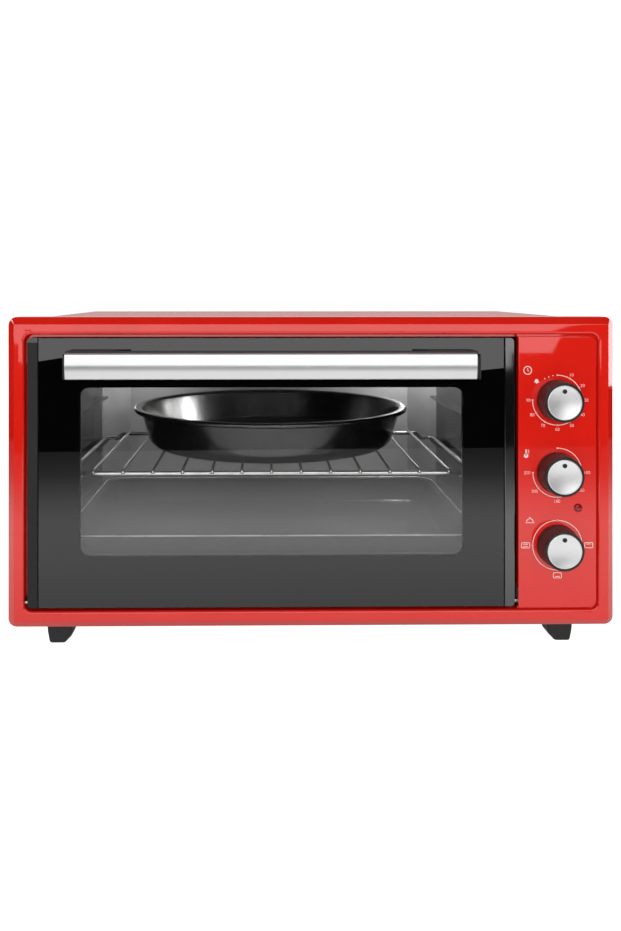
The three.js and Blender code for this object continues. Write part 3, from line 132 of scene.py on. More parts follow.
def skin(rings, caps=True, loop=False):
    """A closed skin over rings of points: the ends are filled, or the last ring joins the first."""
    count = len(rings[0])
    points = [point for ring in rings for point in ring]
    faces = []
    pairs = len(rings) if loop else len(rings) - 1
    for r in range(pairs):
        here, there = r * count, ((r + 1) % len(rings)) * count
        for i in range(count):
            j = (i + 1) % count
            faces.append((here + i, here + j, there + j, there + i))
    if caps and not loop:
        faces.append(tuple(range(count)))
        faces.append(tuple(range(len(points) - count, len(points))))
    return points, faces


def joined(*solids):
    points, faces = [], []
    for more_points, more_faces in solids:
        start = len(points)
        points += more_points
        faces += [tuple(i + start for i in face) for face in more_faces]
    return points, faces


def extruded(outline, axis, start, end):
    return skin([set_at(outline, axis, place) for place in (start, end)])


def strip(outer, inner, front, rear, loop=False):
    """A strip between two lines in x and z, from its front to its rear."""
    return skin([set_at((o, i), Y, front) + set_at((i, o), Y, rear) for o, i in zip(outer, inner)], loop=loop)


def turned(profile, axis, u, v, sides, ribs=0):
    """A closed profile of (radius, place) turned about an axis; a third value marks where it is ribbed."""
    rings = []
    for radius, place, *ribbed in profile:
        ring = []
        for i in range(sides):
            angle = 2 * math.pi * i / sides
            reach = radius - (RIB_DEPTH * (1 - math.cos(ribs * angle)) / 2 if ribbed else 0)
            ring.append((u + reach * math.cos(angle), v + reach * math.sin(angle)))
        rings.append(set_at(ring, axis, place))
    return skin(rings, loop=profile[0][0] > 0, caps=False)


def framed(sides, axis, section, steps, loop=False):
    """A skin of round-cornered rectangles, one at each (inset, place, radius) of a section along the axis."""
    rings = [set_at(drawn_in(sides, inset, radius, steps), axis, place) for inset, place, radius in section]
    return skin(rings, loop=loop)


def plate(outline_at, front, rear, edge, steps=4):
    """A plate whose front edge is rounded; outline_at gives its outline in x and z at an inset."""
    rings = [set_at(outline_at(0), Y, rear)]
    for i in range(steps + 1):
        angle = math.pi / 2 * i / steps
        inset = edge * (1 - math.cos(angle))
        rings.append(set_at(outline_at(inset), Y, front + edge * (1 - math.sin(angle))))
    return skin(rings)


def tube(path, radius, sides):
    """A round bar along a list of points, with flat ends."""
    points = [Vector(p) for p in path]
    ends = points[:1] + points + points[-1:]
    rings = []
    side = None
    for before, point, after in zip(ends, points, ends[2:]):
        ahead = (after - before).normalized()
        if side is None:
            side = ahead.orthogonal().normalized()
        side = (side - ahead * side.dot(ahead)).normalized()
        other = ahead.cross(side)
        rings.append([tuple(point + side * u + other * v) for u, v in circle(0, 0, radius, sides)])
    return skin(rings)


def bent(corners, radius, steps):
    """The corners of a bent bar, with an arc at each bend."""
    points = [Vector(c) for c in corners]
    path = [points[0]]
    for before, here, after in zip(points, points[1:], points[2:]):
        into, out = (here - before).normalized(), (after - here).normalized()
        turn = into.angle(out)
        start = here - into * radius * math.tan(turn / 2)
        inward = (out - into * out.dot(into)).normalized()
        for k in range(steps + 1):
            angle = turn * k / steps
            path.append(start + into * radius * math.sin(angle) + inward * radius * (1 - math.cos(angle)))
    return path + [points[-1]]


# Pieces

SMOOTH_DEGREES = 32
WELD_DISTANCE = 0.002 * MM


def finish_mesh(mesh, degrees=SMOOTH_DEGREES):
    """Joins doubled points, turns the faces outward, and shades round where the surface is round."""
    shape = bmesh.new()
    shape.from_mesh(mesh)
    bmesh.ops.remove_doubles(shape, verts=shape.verts, dist=WELD_DISTANCE)
    bmesh.ops.recalc_face_normals(shape, faces=shape.faces)
    for face in shape.faces:
        face.smooth = True
    for edge in shape.edges:
        edge.smooth = edge.calc_face_angle(0) < math.radians(degrees)
    shape.to_mesh(mesh)
    shape.free()


def linked(name, data):
    made = bpy.data.objects.new(name, data)
    bpy.context.scene.collection.objects.link(made)
    return made


def mesh_object(name, points, faces):
    mesh = bpy.data.meshes.new(name)
    mesh.from_pydata(points, [], faces)
    return linked(name, mesh)


def solid_object(name, solid, degrees=SMOOTH_DEGREES):
    points, faces = solid
    made = mesh_object(name, [at(*point) for point in points], faces)
    finish_mesh(made.data, degrees)
    return made


def keep_flats_flat(made):
    """Lets the large faces decide the shading, so that a flat face mirrors as a flat one."""
    made.modifiers.new("normals", "WEIGHTED_NORMAL").keep_sharp = True


def piece(name, solid, finish, body, replaces=None, degrees=SMOOTH_DEGREES):
    made = solid_object(name, solid, degrees)
    made.data.materials.append(finish)
    keep_flats_flat(made)
    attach(made, body)
    if replaces:
        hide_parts(replaces)
    return made


def carve(made, *solids):
    """Cuts closed solids out of a piece."""
    cutters = [solid_object(f"cutter_{i}", solid) for i, solid in enumerate(solids)]
    for cutter in cutters:
        cutting = made.modifiers.new("cut", "BOOLEAN")
        cutting.operation = "DIFFERENCE"
        cutting.solver = "EXACT"
        cutting.object = cutter
    graph = bpy.context.evaluated_depsgraph_get()
    mesh = bpy.data.meshes.new_from_object(made.evaluated_get(graph))
    made.modifiers.clear()
    made.data = mesh
    finish_mesh(mesh)
    keep_flats_flat(made)
    for cutter in cutters:
        bpy.data.objects.remove(cutter)


# Nodes


def made_node(tree, kind, inputs=None, **settings):
    """A new node with its settings, and with its inputs linked or set."""
    new = tree.nodes.new(kind)
    for key, value in settings.items():
        setattr(new, key, value)
    for key, value in (inputs or {}).items():
        if isinstance(value, bpy.types.NodeSocket):
            tree.links.new(value, new.inputs[key])
        else:
            new.inputs[key].default_value = value
    return new


def by_ray(tree, rays, shown, others):
    """One shader for the kinds of ray named in one string, and another for the rest."""
    path = made_node(tree, "ShaderNodeLightPath").outputs
    share, *more = [path[f"Is {ray} Ray"] for ray in rays.split()]
    for ray in more:
        share = made_node(tree, "ShaderNodeMath", {0: share, 1: ray}, operation="MAXIMUM").outputs[0]
    return made_node(tree, "ShaderNodeMixShader", {0: share, 1: others, 2: shown}).outputs[0]


def round_shading():
    """A node group that shades a mesh round but keeps its sharp edges."""
    group = bpy.data.node_groups.new("round_shading", "GeometryNodeTree")
    for way in ("INPUT", "OUTPUT"):
        group.interface.new_socket("Geometry", in_out=way, socket_type="NodeSocketGeometry")
    mesh = made_node(group, "NodeGroupInput").outputs["Geometry"]
    angle = made_node(group, "GeometryNodeInputMeshEdgeAngle").outputs["Unsigned Angle"]
    inputs = {"A": angle, "B": math.radians(SMOOTH_DEGREES)}
    over = made_node(group, "FunctionNodeCompare", inputs, operation="GREATER_THAN").outputs["Result"]
    sharp = {"Selection": over, "Shade Smooth": False}
    for domain, inputs in (("FACE", {}), ("EDGE", sharp)):
        shaded = made_node(group, "GeometryNodeSetShadeSmooth", {"Geometry": mesh, **inputs}, domain=domain)
        mesh = shaded.outputs["Geometry"]
    made_node(group, "NodeGroupOutput", {"Geometry": mesh})
    return group


ROUND_SHADING = round_shading()


def dress(node, finish, edge):
    """Gives a CAD node its finish, softened edges and round shading."""
    made = frame["nodes"][node]
    if not made.data.materials:
        made.data.materials.append(finish)
    for material_slot in made.material_slots:
        material_slot.material = finish
    made.modifiers.new("weld", "WELD").merge_threshold = WELD_DISTANCE
    bevel = made.modifiers.new("edges", "BEVEL")
    bevel.width = edge * MM
    bevel.segments = 2
    bevel.limit_method = "ANGLE"
    bevel.angle_limit = math.radians(SMOOTH_DEGREES)
    bevel.use_clamp_overlap = True
    made.modifiers.new("shading", "NODES").node_group = ROUND_SHADING
    keep_flats_flat(made)
    return made


# Finishes


def shade(value):
    """A grey or a red, green and blue as they look on a screen, 0 to 255, in a shader's linear values."""
    if isinstance(value, bpy.types.NodeSocket):
        return value
    parts = value if isinstance(value, tuple) else (value,) * 3
    shares = [part / 255 for part in parts]
    return (*[s / 12.92 if s <= 0.04045 else ((s + 0.055) / 1.055) ** 2.4 for s in shares], 1)


class Finish:
    """A Principled material, and the steps that the finishes share. Sizes and heights are millimetres."""

    def __init__(self, name, colour, roughness, **sockets):
        self.material = bpy.data.materials.new(name)
        self.material.use_nodes = True
        self.tree = self.material.node_tree
        self.shader = self.tree.nodes["Principled BSDF"]
        for key, value in {"Base_Color": shade(colour), "Roughness": roughness, **sockets}.items():
            self.shader.inputs[key.replace("_", " ")].default_value = value
        self.place = self.made("TexCoord").outputs["Object"]

    def made(self, kind, inputs=None, **settings):
        return made_node(self.tree, f"ShaderNode{kind}", inputs, **settings)

    def noise(self, size, detail, stretch=None):
        place = self.place
        if stretch:
            place = self.made("Mapping", {"Vector": place, "Scale": stretch}).outputs["Vector"]
        inputs = {"Vector": place, "Scale": 1 / (size * MM), "Detail": detail}
        return self.made("TexNoise", inputs).outputs["Fac"]

    def cells(self, size, output="Distance"):
        return self.made("TexVoronoi", {"Vector": self.place, "Scale": 1 / (size * MM)}).outputs[output]

    def spread(self, value, low, high, start=0.3, end=0.7):
        inputs = {"Value": value, "From Min": start, "From Max": end, "To Min": low, "To Max": high}
        return self.made("MapRange", inputs).outputs["Result"]

    def times(self, first, second):
        return self.made("Math", {0: first, 1: second}, operation="MULTIPLY").outputs[0]

    def length(self, vector, *steps):
        """How long a vector is after some steps, each an operation and its value."""
        for operation, value in steps:
            vector = self.made("VectorMath", {0: vector, 1: value}, operation=operation).outputs[0]
        return self.made("VectorMath", {0: vector}, operation="LENGTH").outputs["Value"]

    def mixed(self, share, dark, light):
        inputs = {0: share, 6: shade(dark), 7: shade(light)}
        return self.made("Mix", inputs, data_type="RGBA").outputs[2]

    def colour(self, share, dark, light):
        self.tree.links.new(self.mixed(share, dark, light), self.shader.inputs["Base Color"])

    def rough(self, value, smooth, dull):
        self.tree.links.new(self.spread(value, smooth, dull), self.shader.inputs["Roughness"])

    def bump(self, value, height):
        bumped = self.made("Bump", {"Height": value, "Distance": height * MM, "Strength": 1})
        self.tree.links.new(bumped.outputs["Normal"], self.shader.inputs["Normal"])

    def glow(self, strength):
        return self.made("Emission", {"Strength": strength}).outputs[0]

    def shows(self, shader):
        """Takes another shader than the Principled one as the surface."""
        self.tree.links.new(shader, self.tree.nodes["Material Output"].inputs["Surface"])

    def edge_wear_and_highlight(self, radius, patches):
        """How much a point lies on an edge that is painted lighter in patches, as wear and as a painted
        highlight, from 0 to 1.
        """
        bevel = self.made("Bevel", {"Radius": radius * MM}, samples=4).outputs["Normal"]
        flat = self.made("NewGeometry").outputs["Normal"]
        same = self.made("VectorMath", {0: bevel, 1: flat}, operation="DOT_PRODUCT").outputs["Value"]
        edge = self.spread(same, 1, 0, 0.75, 0.94)
        return self.times(edge, self.spread(self.noise(patches, 4), 0, 1, 0.45, 0.62))


def coat(name, tone, sheen, relief, strong=False, **sockets):
    """A finish led by three noises, each given first, as its size, detail and any stretch.

    tone adds a dark and a light colour, sheen the least and the most roughness, and relief a height. A strong
    tone reaches both of its colours.
    """
    finish = Finish(name, tone[2], sheen[2], **sockets)
    share = finish.noise(*tone[0])
    finish.colour(finish.spread(share, 0, 1) if strong else share, *tone[1:])
    finish.rough(finish.noise(*sheen[0]), *sheen[1:])
    finish.bump(finish.noise(*relief[0]), relief[1])
    return finish.material


GLOSS_IOR = 1.7


def red_paint(name, smooth, dull):
    paint = Finish(name, (215, 32, 22), dull, IOR=GLOSS_IOR)
    base = paint.mixed(paint.spread(paint.noise(60, 3), 0, 1), (212, 30, 20), (218, 34, 24))
    # The edges are painted a lighter red in patches: partly wear, partly a painted highlight along the edges
    paint.colour(paint.times(paint.edge_wear_and_highlight(0.7, 5), 0.4), base, (236, 84, 66))
    paint.rough(paint.noise(14, 4), smooth, dull)
    paint.bump(paint.noise(3.2, 1), 0.0002)
    return paint.material


def zinc_sheet():
    zinc = Finish("zinc_sheet", 150, 0.42, Metallic=0.9)
    spangle = zinc.made("SeparateColor", {"Color": zinc.cells(9, "Color")}).outputs[0]
    zinc.colour(spangle, 156, 173)
    zinc.rough(zinc.noise(7, 4), 0.34, 0.5)
    zinc.bump(zinc.noise(1.1, 3), 0.004)
    return zinc.material


def insulation():
    wool = Finish("insulation", (226, 214, 168), 0.95, Sheen_Weight=0.3)
    strands = wool.noise(1.2, 6, (0.25, 1, 1))
    wool.colour(wool.spread(strands, 0, 1), (206, 190, 140), (236, 226, 186))
    wool.bump(strands, 0.6)
    return wool.material


def cavity_sheet(name, dark, light):
    grain = (12, 1, (1, 1, 0.02))
    return coat(name, (grain, dark, light), ((60, 2), 0.2, 0.26), (grain, 0.003), Metallic=0.7)


def moulded(name, dark, light, smooth, dull):
    return coat(name, ((14, 4), dark, light), ((5, 3), smooth, dull), ((0.5, 2), 0.008))


def trim_metal(name, dark, light, smooth, dull, **sockets):
    grain = (0.5, 3, (1, 1, 0.02))
    return coat(name, (grain, dark, light), (grain, smooth, dull), (grain, 0.0006), **sockets)


def lens_red():
    lens = Finish("lens_red", (120, 8, 6), 0.08, Coat_Weight=0.6, Coat_Roughness=0.04)
    flutes = lens.cells(1.3)
    lens.colour(lens.spread(flutes, 0, 1, 0.1, 0.6), (86, 6, 5), (150, 14, 10))
    lens.rough(lens.noise(2, 2), 0.05, 0.14)
    lens.bump(flutes, 0.05)
    return lens.material


def turned_metal(name, centre):
    """Metal turned on a lathe about a line along y, with fine rings."""
    metal = Finish(name, 244, 0.38, Metallic=0.72)
    radius = metal.length(metal.place, ("SUBTRACT", centre), ("MULTIPLY", (1, 0, 1)))
    inputs = {"W": radius, "Scale": 1 / (0.35 * MM), "Detail": 2}
    rings = metal.made("TexNoise", inputs, noise_dimensions="1D").outputs["Fac"]
    metal.colour(rings, 232, 244)
    metal.rough(metal.noise(4, 3), 0.3, 0.38)
    metal.bump(rings, 0.0012)
    return metal.material


def pane_glass(name, tint, ior):
    """Clear glass that lamps shine through without darkening what is behind it."""
    pane = Finish(name, 255, 0, Base_Color=tint, Transmission_Weight=1, IOR=ior)
    pane.rough(pane.noise(30, 3), 0, 0.012)
    clear = pane.made("BsdfTransparent", {"Color": tint}).outputs[0]
    pane.shows(by_ray(pane.tree, "Shadow", clear, pane.shader.outputs[0]))
    return pane.material


PAINT = red_paint("red_paint", 0.02, 0.05)
CASE_PAINT = red_paint("case_paint", 0.2, 0.28)
SHEET_BLACK = coat("black_sheet", ((20, 3), 24, 36), ((9, 3), 0.35, 0.55), ((0.6, 2), 0.006))
ZINC = zinc_sheet()
ENAMEL = cavity_sheet("cavity_enamel", 146, 154)
# The side walls get a darker copy of the cavity's enamel: painted shade for the little light that reaches
# them
SHADED_SIDE_ENAMEL = cavity_sheet("side_enamel_painted_shade", 46, 56)
WOOL = insulation()
SHEATH = coat("heater_sheath", ((30, 4), (84, 80, 76), (122, 112, 100)), ((4, 4), 0.32, 0.52),
              ((0.5, 3), 0.01), strong=True, Metallic=0.85)
STEEL = coat("bright_steel", ((10, 4), 206, 222), ((2, 4), 0.16, 0.3), ((0.4, 2), 0.001), Metallic=1)
FOOT = coat("foot_rubber", ((6, 4), 28, 46), ((3, 3), 0.5, 0.72), ((0.45, 3), 0.02))
FASTENER = coat("fastener_steel", ((4, 4), (168, 166, 158), (190, 190, 188)), ((1.5, 3), 0.24, 0.42),
                ((0.3, 2), 0.004), Metallic=1)
PLASTIC = moulded("black_plastic", 16, 24, 0.3, 0.42)
PALE = moulded("pale_plastic", (214, 208, 192), (232, 228, 216), 0.4, 0.55)
KNOB = moulded("knob_plastic", (26, 20, 20), (36, 28, 27), 0.26, 0.4)
LENS = lens_red()
PANE = pane_glass("door_glass", (1, 1, 1, 1), GLOSS_IOR)
INNER_PANE = pane_glass("clear_glass", (0.97, 0.98, 0.97, 1), 1.15)
# The black ceramic print is fused to the glass, and as glossy as the glass
PRINT = coat("glass_print", ((12, 3), 3, 6), ((30, 3), 0, 0.012), ((9, 1), 0.0004), IOR=GLOSS_IOR)
SEAL = coat("seal_rubber", ((8, 4), 46, 68), ((3, 3), 0.55, 0.75), ((0.5, 3), 0.015))
# The two side trims are one material in two copies: the left one is painted a lighter, matt grey that stands
# in for the light it catches, the right one is dark and glossy
TRIMS = {
    "left": trim_metal("trim_satin_painted_light", 42, 48, 0.4, 0.5, Specular_IOR_Level=0.05),
    "right": trim_metal("trim_gloss", 14, 18, 0.03, 0.08, IOR=2.15),
}
HANDLE_GRAIN = (0.35, 4, (0.02, 1, 1))
HANDLE = coat("handle_steel", (HANDLE_GRAIN, 217, 227), (HANDLE_GRAIN, 0.19, 0.25), (HANDLE_GRAIN, 0.0008),
              Metallic=0.72)
CHROME = coat("chrome_wire", ((16, 4), 212, 236), ((5, 4), 0.1, 0.22), ((0.8, 2), 0.002),
              strong=True, Metallic=1)
COATING = coat("pan_coating", ((20, 3), 8, 14), ((24, 3), 0.18, 0.24), ((4, 1), 0.003), IOR=2.1)
TRAY = coat("tray_enamel", ((30, 3), 25, 31), ((24, 3), 0.14, 0.24), ((6, 1), 0.006), Specular_IOR_Level=0.2)
# The tray's rim is painted bright: a painted highlight along the rim
RIM_HIGHLIGHT = coat("tray_edge_painted_highlight", ((24, 3), 128, 176), ((8, 3), 0.26, 0.38), ((3, 2), 0.004),
            strong=True, Metallic=0.5)
INK = coat("marking_ink", ((3, 4), (234, 204, 198), (244, 220, 214)), ((2, 2), 0.32, 0.5),
           ((0.3, 2), 0.002))

# Front surround

BEZEL_SIDES, _, BEZEL_REAR = upright("front_bezel")
BEZEL_LEFT, BEZEL_RIGHT, BEZEL_LOW, BEZEL_HIGH = BEZEL_SIDES
BEZEL_CORNER = 8
BEZEL_CHAMFER = 7
BEZEL_WALL = 2
BEZEL_BORDER = 16.8
OPENING_CORNER = 7
SOFT_EDGE = 0.5
LIP_EDGE = 3
LIP_DEPTH = 12
LIP_LAP = 0.01
LIP_STEPS = 5
CORNER_STEPS = 10


def bezel():
    """The surround: a chamfered frame whose inner lip rolls back round the opening."""
    corner, chamfer, wall, soft, rear = BEZEL_CORNER, BEZEL_CHAMFER, BEZEL_WALL, SOFT_EDGE, BEZEL_REAR
    border, opening, lip = BEZEL_BORDER, OPENING_CORNER, LIP_EDGE
    slope = soft / math.sqrt(2)
    turn, inner = corner - chamfer, border - wall
    profile = [
        (0, rear, corner),
        (0, chamfer + soft, corner),
        (slope / 4, chamfer, corner),
        (slope, chamfer - slope, corner - slope),
        (chamfer - slope, slope, turn + slope),
        (chamfer, slope / 4, turn + slope),
        (chamfer + soft, 0, turn + slope),
        (chamfer + soft * 3, 0, turn + slope * 3),
    ]
    for i in range(LIP_STEPS + 1):
        angle = math.pi / 2 * i / LIP_STEPS
        inset = border - lip + lip * math.sin(angle)
        profile.append((inset, lip * (1 - math.cos(angle)), opening + border - inset))
    profile += [
        (border + LIP_LAP, LIP_DEPTH, opening),
        (inner, LIP_DEPTH, opening),
        (inner, lip, opening),
        (border - lip, wall, opening),
        (chamfer, wall, turn),
        (wall, chamfer, corner - wall),
        (wall, rear, corner - wall),
    ]
    return framed(BEZEL_SIDES, Y, profile, CORNER_STEPS, loop=True)


piece("surround", bezel(), PAINT, "housing", "front_bezel", 25)

# Control panel, and the painted ledges in the groove round it and round the door

PANEL_SIDES, PANEL_FRONT, PANEL_REAR = upright("control_panel")
PANEL_LEFT, PANEL_RIGHT, PANEL_LOW, PANEL_HIGH = PANEL_SIDES
PANEL_CORNER = 7
PANEL_SQUARE_CORNER = 1
PANEL_EDGE = 0.9
PANEL_WALL = 1.5
NOTCH_WIDTH = 4.5
NOTCH_HEIGHT = 18
NOTCH_FRONT = 1.5
OVERCUT = 5
SHAFT_HOLE = 5
LENS_HOLE = 3.6
LENS_X, _, LENS_Z = middle("indicator_lens")
KNOB_X = middle("timer_knob")[0]
KNOB_Z = {name: middle(f"{name}_knob")[2] for name in ("timer", "thermostat", "function")}


def panel_outline(inset):
    corner = PANEL_CORNER - inset
    radii = [corner, PANEL_SQUARE_CORNER, PANEL_SQUARE_CORNER, corner]
    return drawn_in(PANEL_SIDES, inset, radii, CORNER_STEPS)


def panel():
    made = piece("panel", plate(panel_outline, PANEL_FRONT, PANEL_REAR, PANEL_EDGE), PAINT,
                 "housing", "control_panel")
    behind = PANEL_REAR + OVERCUT
    hollow = extruded(panel_outline(PANEL_WALL), Y, PANEL_FRONT + PANEL_WALL, behind)
    left, low = PANEL_LEFT - OVERCUT, PANEL_LOW - OVERCUT
    notch = rounded(left, PANEL_LEFT + NOTCH_WIDTH, low, PANEL_LOW + NOTCH_HEIGHT, 0.2)
    bores = [(LENS_X, LENS_Z, LENS_HOLE)] + [(KNOB_X, z, SHAFT_HOLE) for z in KNOB_Z.values()]
    carve(made, hollow, extruded(notch, Y, NOTCH_FRONT, behind),
          *[extruded(circle(*bore, 32), Y, -OVERCUT, PANEL_REAR) for bore in bores])


panel()

PANEL_LEDGE_FRONT = 5
DOOR_LEDGE_FRONT = 10
DOOR_LEDGE_FOOT = 12
DOOR_LEDGE_GAP = 0.5
LEDGE_THICKNESS = 1.2
LEDGE_LAP = 0.05


def panel_ledge():
    """A painted strip at the bottom of the groove, above, below and to the right of the panel."""
    edge, lap = BEZEL_BORDER - LEDGE_LAP, LEDGE_LAP
    lines = []
    for right, low, high, r in (
        (BEZEL_RIGHT - edge, BEZEL_LOW + edge, BEZEL_HIGH - edge, OPENING_CORNER),
        (PANEL_RIGHT + lap, PANEL_LOW - lap, PANEL_HIGH + lap, PANEL_CORNER),
    ):
        lower = arc(right - r, low + r, r, 270, 360, CORNER_STEPS)
        upper = arc(right - r, high - r, r, 0, 90, CORNER_STEPS)
        lines.append([(PANEL_LEFT, low), *lower, *upper, (PANEL_LEFT, high)])
    return strip(*lines, PANEL_LEDGE_FRONT, PANEL_LEDGE_FRONT + LEDGE_THICKNESS)


def door_ledge():
    """A like strip beside and above the door; the door's lower edge needs its room."""
    edge, gap = BEZEL_BORDER - LEDGE_LAP, DOOR_LEDGE_GAP
    low = BEZEL_LOW + edge + DOOR_LEDGE_FOOT
    lines = []
    for left, high, r in (
        (BEZEL_LEFT + edge, BEZEL_HIGH - edge, OPENING_CORNER),
        (extent("door_trim_left")[0] - gap, extent("door_glass")[5] + gap, OPENING_CORNER - 1),
    ):
        lines.append([(PANEL_LEFT, high), *arc(left + r, high - r, r, 90, 180, CORNER_STEPS), (left, low)])
    return strip(*lines, DOOR_LEDGE_FRONT, DOOR_LEDGE_FRONT + LEDGE_THICKNESS)


piece("panel_groove", panel_ledge(), PAINT, "housing")
piece("door_groove", door_ledge(), PAINT, "housing")

# Markings printed round the knobs

PRINT_RISE = 0.12
DIAL_LINE = 0.65
DOT = 0.85
SMALL_DOT = 0.55
FIGURE_HEIGHT = 2.9
FIGURE_EXTRUDE = 0.1
FIGURE_THINNED = -0.012
SIGN_LINE = 0.58


def printed(outline):
    """A solid patch of ink with the given outline in x and z."""
    return extruded(outline, Y, -PRINT_RISE, PRINT_RISE)


def ribbon(points, width, closed=False):
    """A printed line of the given width along points in x and z."""
    ends = points[-1:] + points + points[:1] if closed else points[:1] + points + points[-1:]
    outer, inner = [], []
    for before, (u, v), after in zip(ends, points, ends[2:]):
        du, dv = after[0] - before[0], after[1] - before[1]
        length = math.hypot(du, dv)
        nu, nv = -dv / length * width / 2, du / length * width / 2
        outer.append((u + nu, v + nv))
        inner.append((u - nu, v - nv))
    return strip(outer, inner, -PRINT_RISE, PRINT_RISE, loop=closed)


def bar(u, v, reach, width):
    """A level line with its middle at u, v."""
    return ribbon([(u - reach, v), (u + reach, v)], width)


def round_the_dial(centre, radius, angle):
    """A point at an angle in degrees clockwise from the top of a dial."""
    turn = math.radians(angle)
    return centre[0] + radius * math.sin(turn), centre[1] + radius * math.cos(turn)


def dot(centre, radius, angle, size=DOT):
    return printed(circle(*round_the_dial(centre, radius, angle), size, 20))


def figures(text, u, v):
    """Plain figures, centred on a point."""
    curve = bpy.data.curves.new("figures", "FONT")
    curve.body = text
    curve.extrude = FIGURE_EXTRUDE
    curve.offset = FIGURE_THINNED
    curve.resolution_u = 3
    shown = bpy.data.objects.new("figures", curve)
    mesh = shown.to_mesh()
    points = [tuple(vertex.co) for vertex in mesh.vertices]
    faces = [tuple(face.vertices) for face in mesh.polygons]
    shown.to_mesh_clear()
    bpy.data.objects.remove(shown)
    bpy.data.curves.remove(curve)
    us, vs, _ = zip(*points)
    scale = FIGURE_HEIGHT / (max(vs) - min(vs))
    mid_u, mid_v = (max(us) + min(us)) / 2, (max(vs) + min(vs)) / 2
    rise = PRINT_RISE / FIGURE_EXTRUDE
    return [(u + (p[0] - mid_u) * scale, -p[2] * rise, v + (p[1] - mid_v) * scale) for p in points], faces


# Each dial: its radius, how far its line goes round, its dots, and its figures by angle and radius
DIALS = {
    "timer": (24, 270, range(0, 300, 30), [(30 * step, 28, str(10 * step)) for step in range(1, 10)]),
    "thermostat": (23.6, 270, (0, 90, 126, 180, 231, 270), [
        (90, 28.9, "100"), (126, 28.7, "150"), (180, 27.4, "180"), (231, 28.3, "200"), (270, 29.2, "250")]),
    "function": (23.8, 360, (0, 90, 180, 270), []),
}


def dial(name):
    """A line round the dial, clockwise from its top, with its dots and figures."""
    centre = (KNOB_X, KNOB_Z[name])
    radius, sweep, dots, texts = DIALS[name]
    steps = sweep // 4
    line = [round_the_dial(centre, radius, sweep * i / steps) for i in range(steps + 1)]
    closed = sweep == 360
    parts = [ribbon(line[:-1] if closed else line, DIAL_LINE, closed)]
    parts += [dot(centre, radius, angle) for angle in dots]
    return parts + [figures(text, *round_the_dial(centre, away, angle)) for angle, away, text in texts]


def signs():
    """The small dots of the timer's hold position, and the signs beside the dials."""
    x, (timer, thermostat, function) = KNOB_X, KNOB_Z.values()
    centre, radius = (x, timer), DIALS["timer"][0]
    return [
        *[dot(centre, radius, -10.2 * step, SMALL_DOT) for step in (1, 2, 3)],
        *bell(*round_the_dial(centre, 27.4, -47)),
        *clock(x - 28.7, timer + 28.7),
        *thermometer(x - 30.2, thermostat + 16.4),
        *oven_sign(x - 30.7, function, [1, -1]),
        *oven_sign(x + 30.2, function, [1]),
        *oven_sign(x, function - 28.9, [-1]),
        *cover_sign(x - 26.6, function + 22.4),
    ]


def bell(u, v):
    dome_radius, reach, clapper = 1.7, 2.4, 0.6
    skirt = [(u - reach, v - dome_radius), (u + reach, v - dome_radius)]
    return [printed(arc(u, v, dome_radius, 0, 180, 12) + skirt), printed(circle(u, v - 2.3, clapper, 12))]


def clock(u, v):
    face = ribbon(circle(u, v, 3.75, 40), 0.75, closed=True)
    hands = ribbon([(u, v + 2.3), (u, v), (u + 1.2, v - 1)], 0.55)
    return [face, hands]


def thermometer(u, v):
    bulb, stem_height, stem_width, tick_middle = 2.1, 6, 1.3, u + 2.2
    ticks = [bar(tick_middle, v + rise, 0.7, SMALL_DOT) for rise in (2.6, 4, 5.4)]
    return [printed(circle(u, v, bulb, 24)), ribbon([(u, v), (u, v + stem_height)], stem_width), *ticks]


def oven_sign(u, v, sides):
    """A small oven outline with a bar where the heat comes from: 1 is above and -1 below."""
    half_width, half_height, corner, reach, rise = 3.9, 2.5, 0.8, 2.3, 1.1
    outline = rounded(u - half_width, u + half_width, v - half_height, v + half_height, corner, 4)
    bars = [bar(u, v + rise * side, reach, SIGN_LINE) for side in sides]
    return [ribbon(outline, SIGN_LINE, closed=True), *bars]


def cover_sign(u, v):
    """A covered dish."""
    dome_radius, reach, knob_rise, knob, line = 3.2, 4.3, 3.9, 0.7, 0.6
    dome = ribbon(arc(u, v, dome_radius, 0, 180, 16), line)
    return [dome, bar(u, v - 0.7, reach, line), printed(circle(u, v + knob_rise, knob, 12))]


markings = [solid for dial_name in DIALS for solid in dial(dial_name)] + signs()
piece("dial_markings", joined(*markings), INK, "housing")


def indicator():
    """The lamp's lens: a low fluted dome in a thin rim."""
    left, right, front, rear, _, _ = extent("indicator_lens")
    rim = (right - left) / 2
    dome, dome_depth, shank, shank_front, steps = 3, 0.9, 3.3, -0.3, 7
    profile = [(0, front)]
    for i in range(1, steps + 1):
        angle = math.pi / 2 * i / steps
        profile.append((dome * math.sin(angle), front + dome_depth * (1 - math.cos(angle))))
    profile += [(shank, front + 0.55), (rim - 0.3, front + 0.6), (rim, front + 0.9), (rim, shank_front),
                (shank, shank_front), (shank, rear), (0, rear)]
    return turned(profile, Y, LENS_X, LENS_Z, 64)


piece("lamp_lens", indicator(), LENS, "housing", "indicator_lens")

# Knobs

KNOB_RIBS = 60
RING_WIDTH = 1.2
CAP_SEAT = 16.6
CAP_SEAT_DEPTH = 3.2
DISH_DEPTH = 1.9
DISH_RIM = 0.8
DISH_SHARES = (0, 0.12, 0.25, 0.4, 0.55, 0.7, 0.82, 0.91, 0.97)
POINTER_AWAY = 10.6


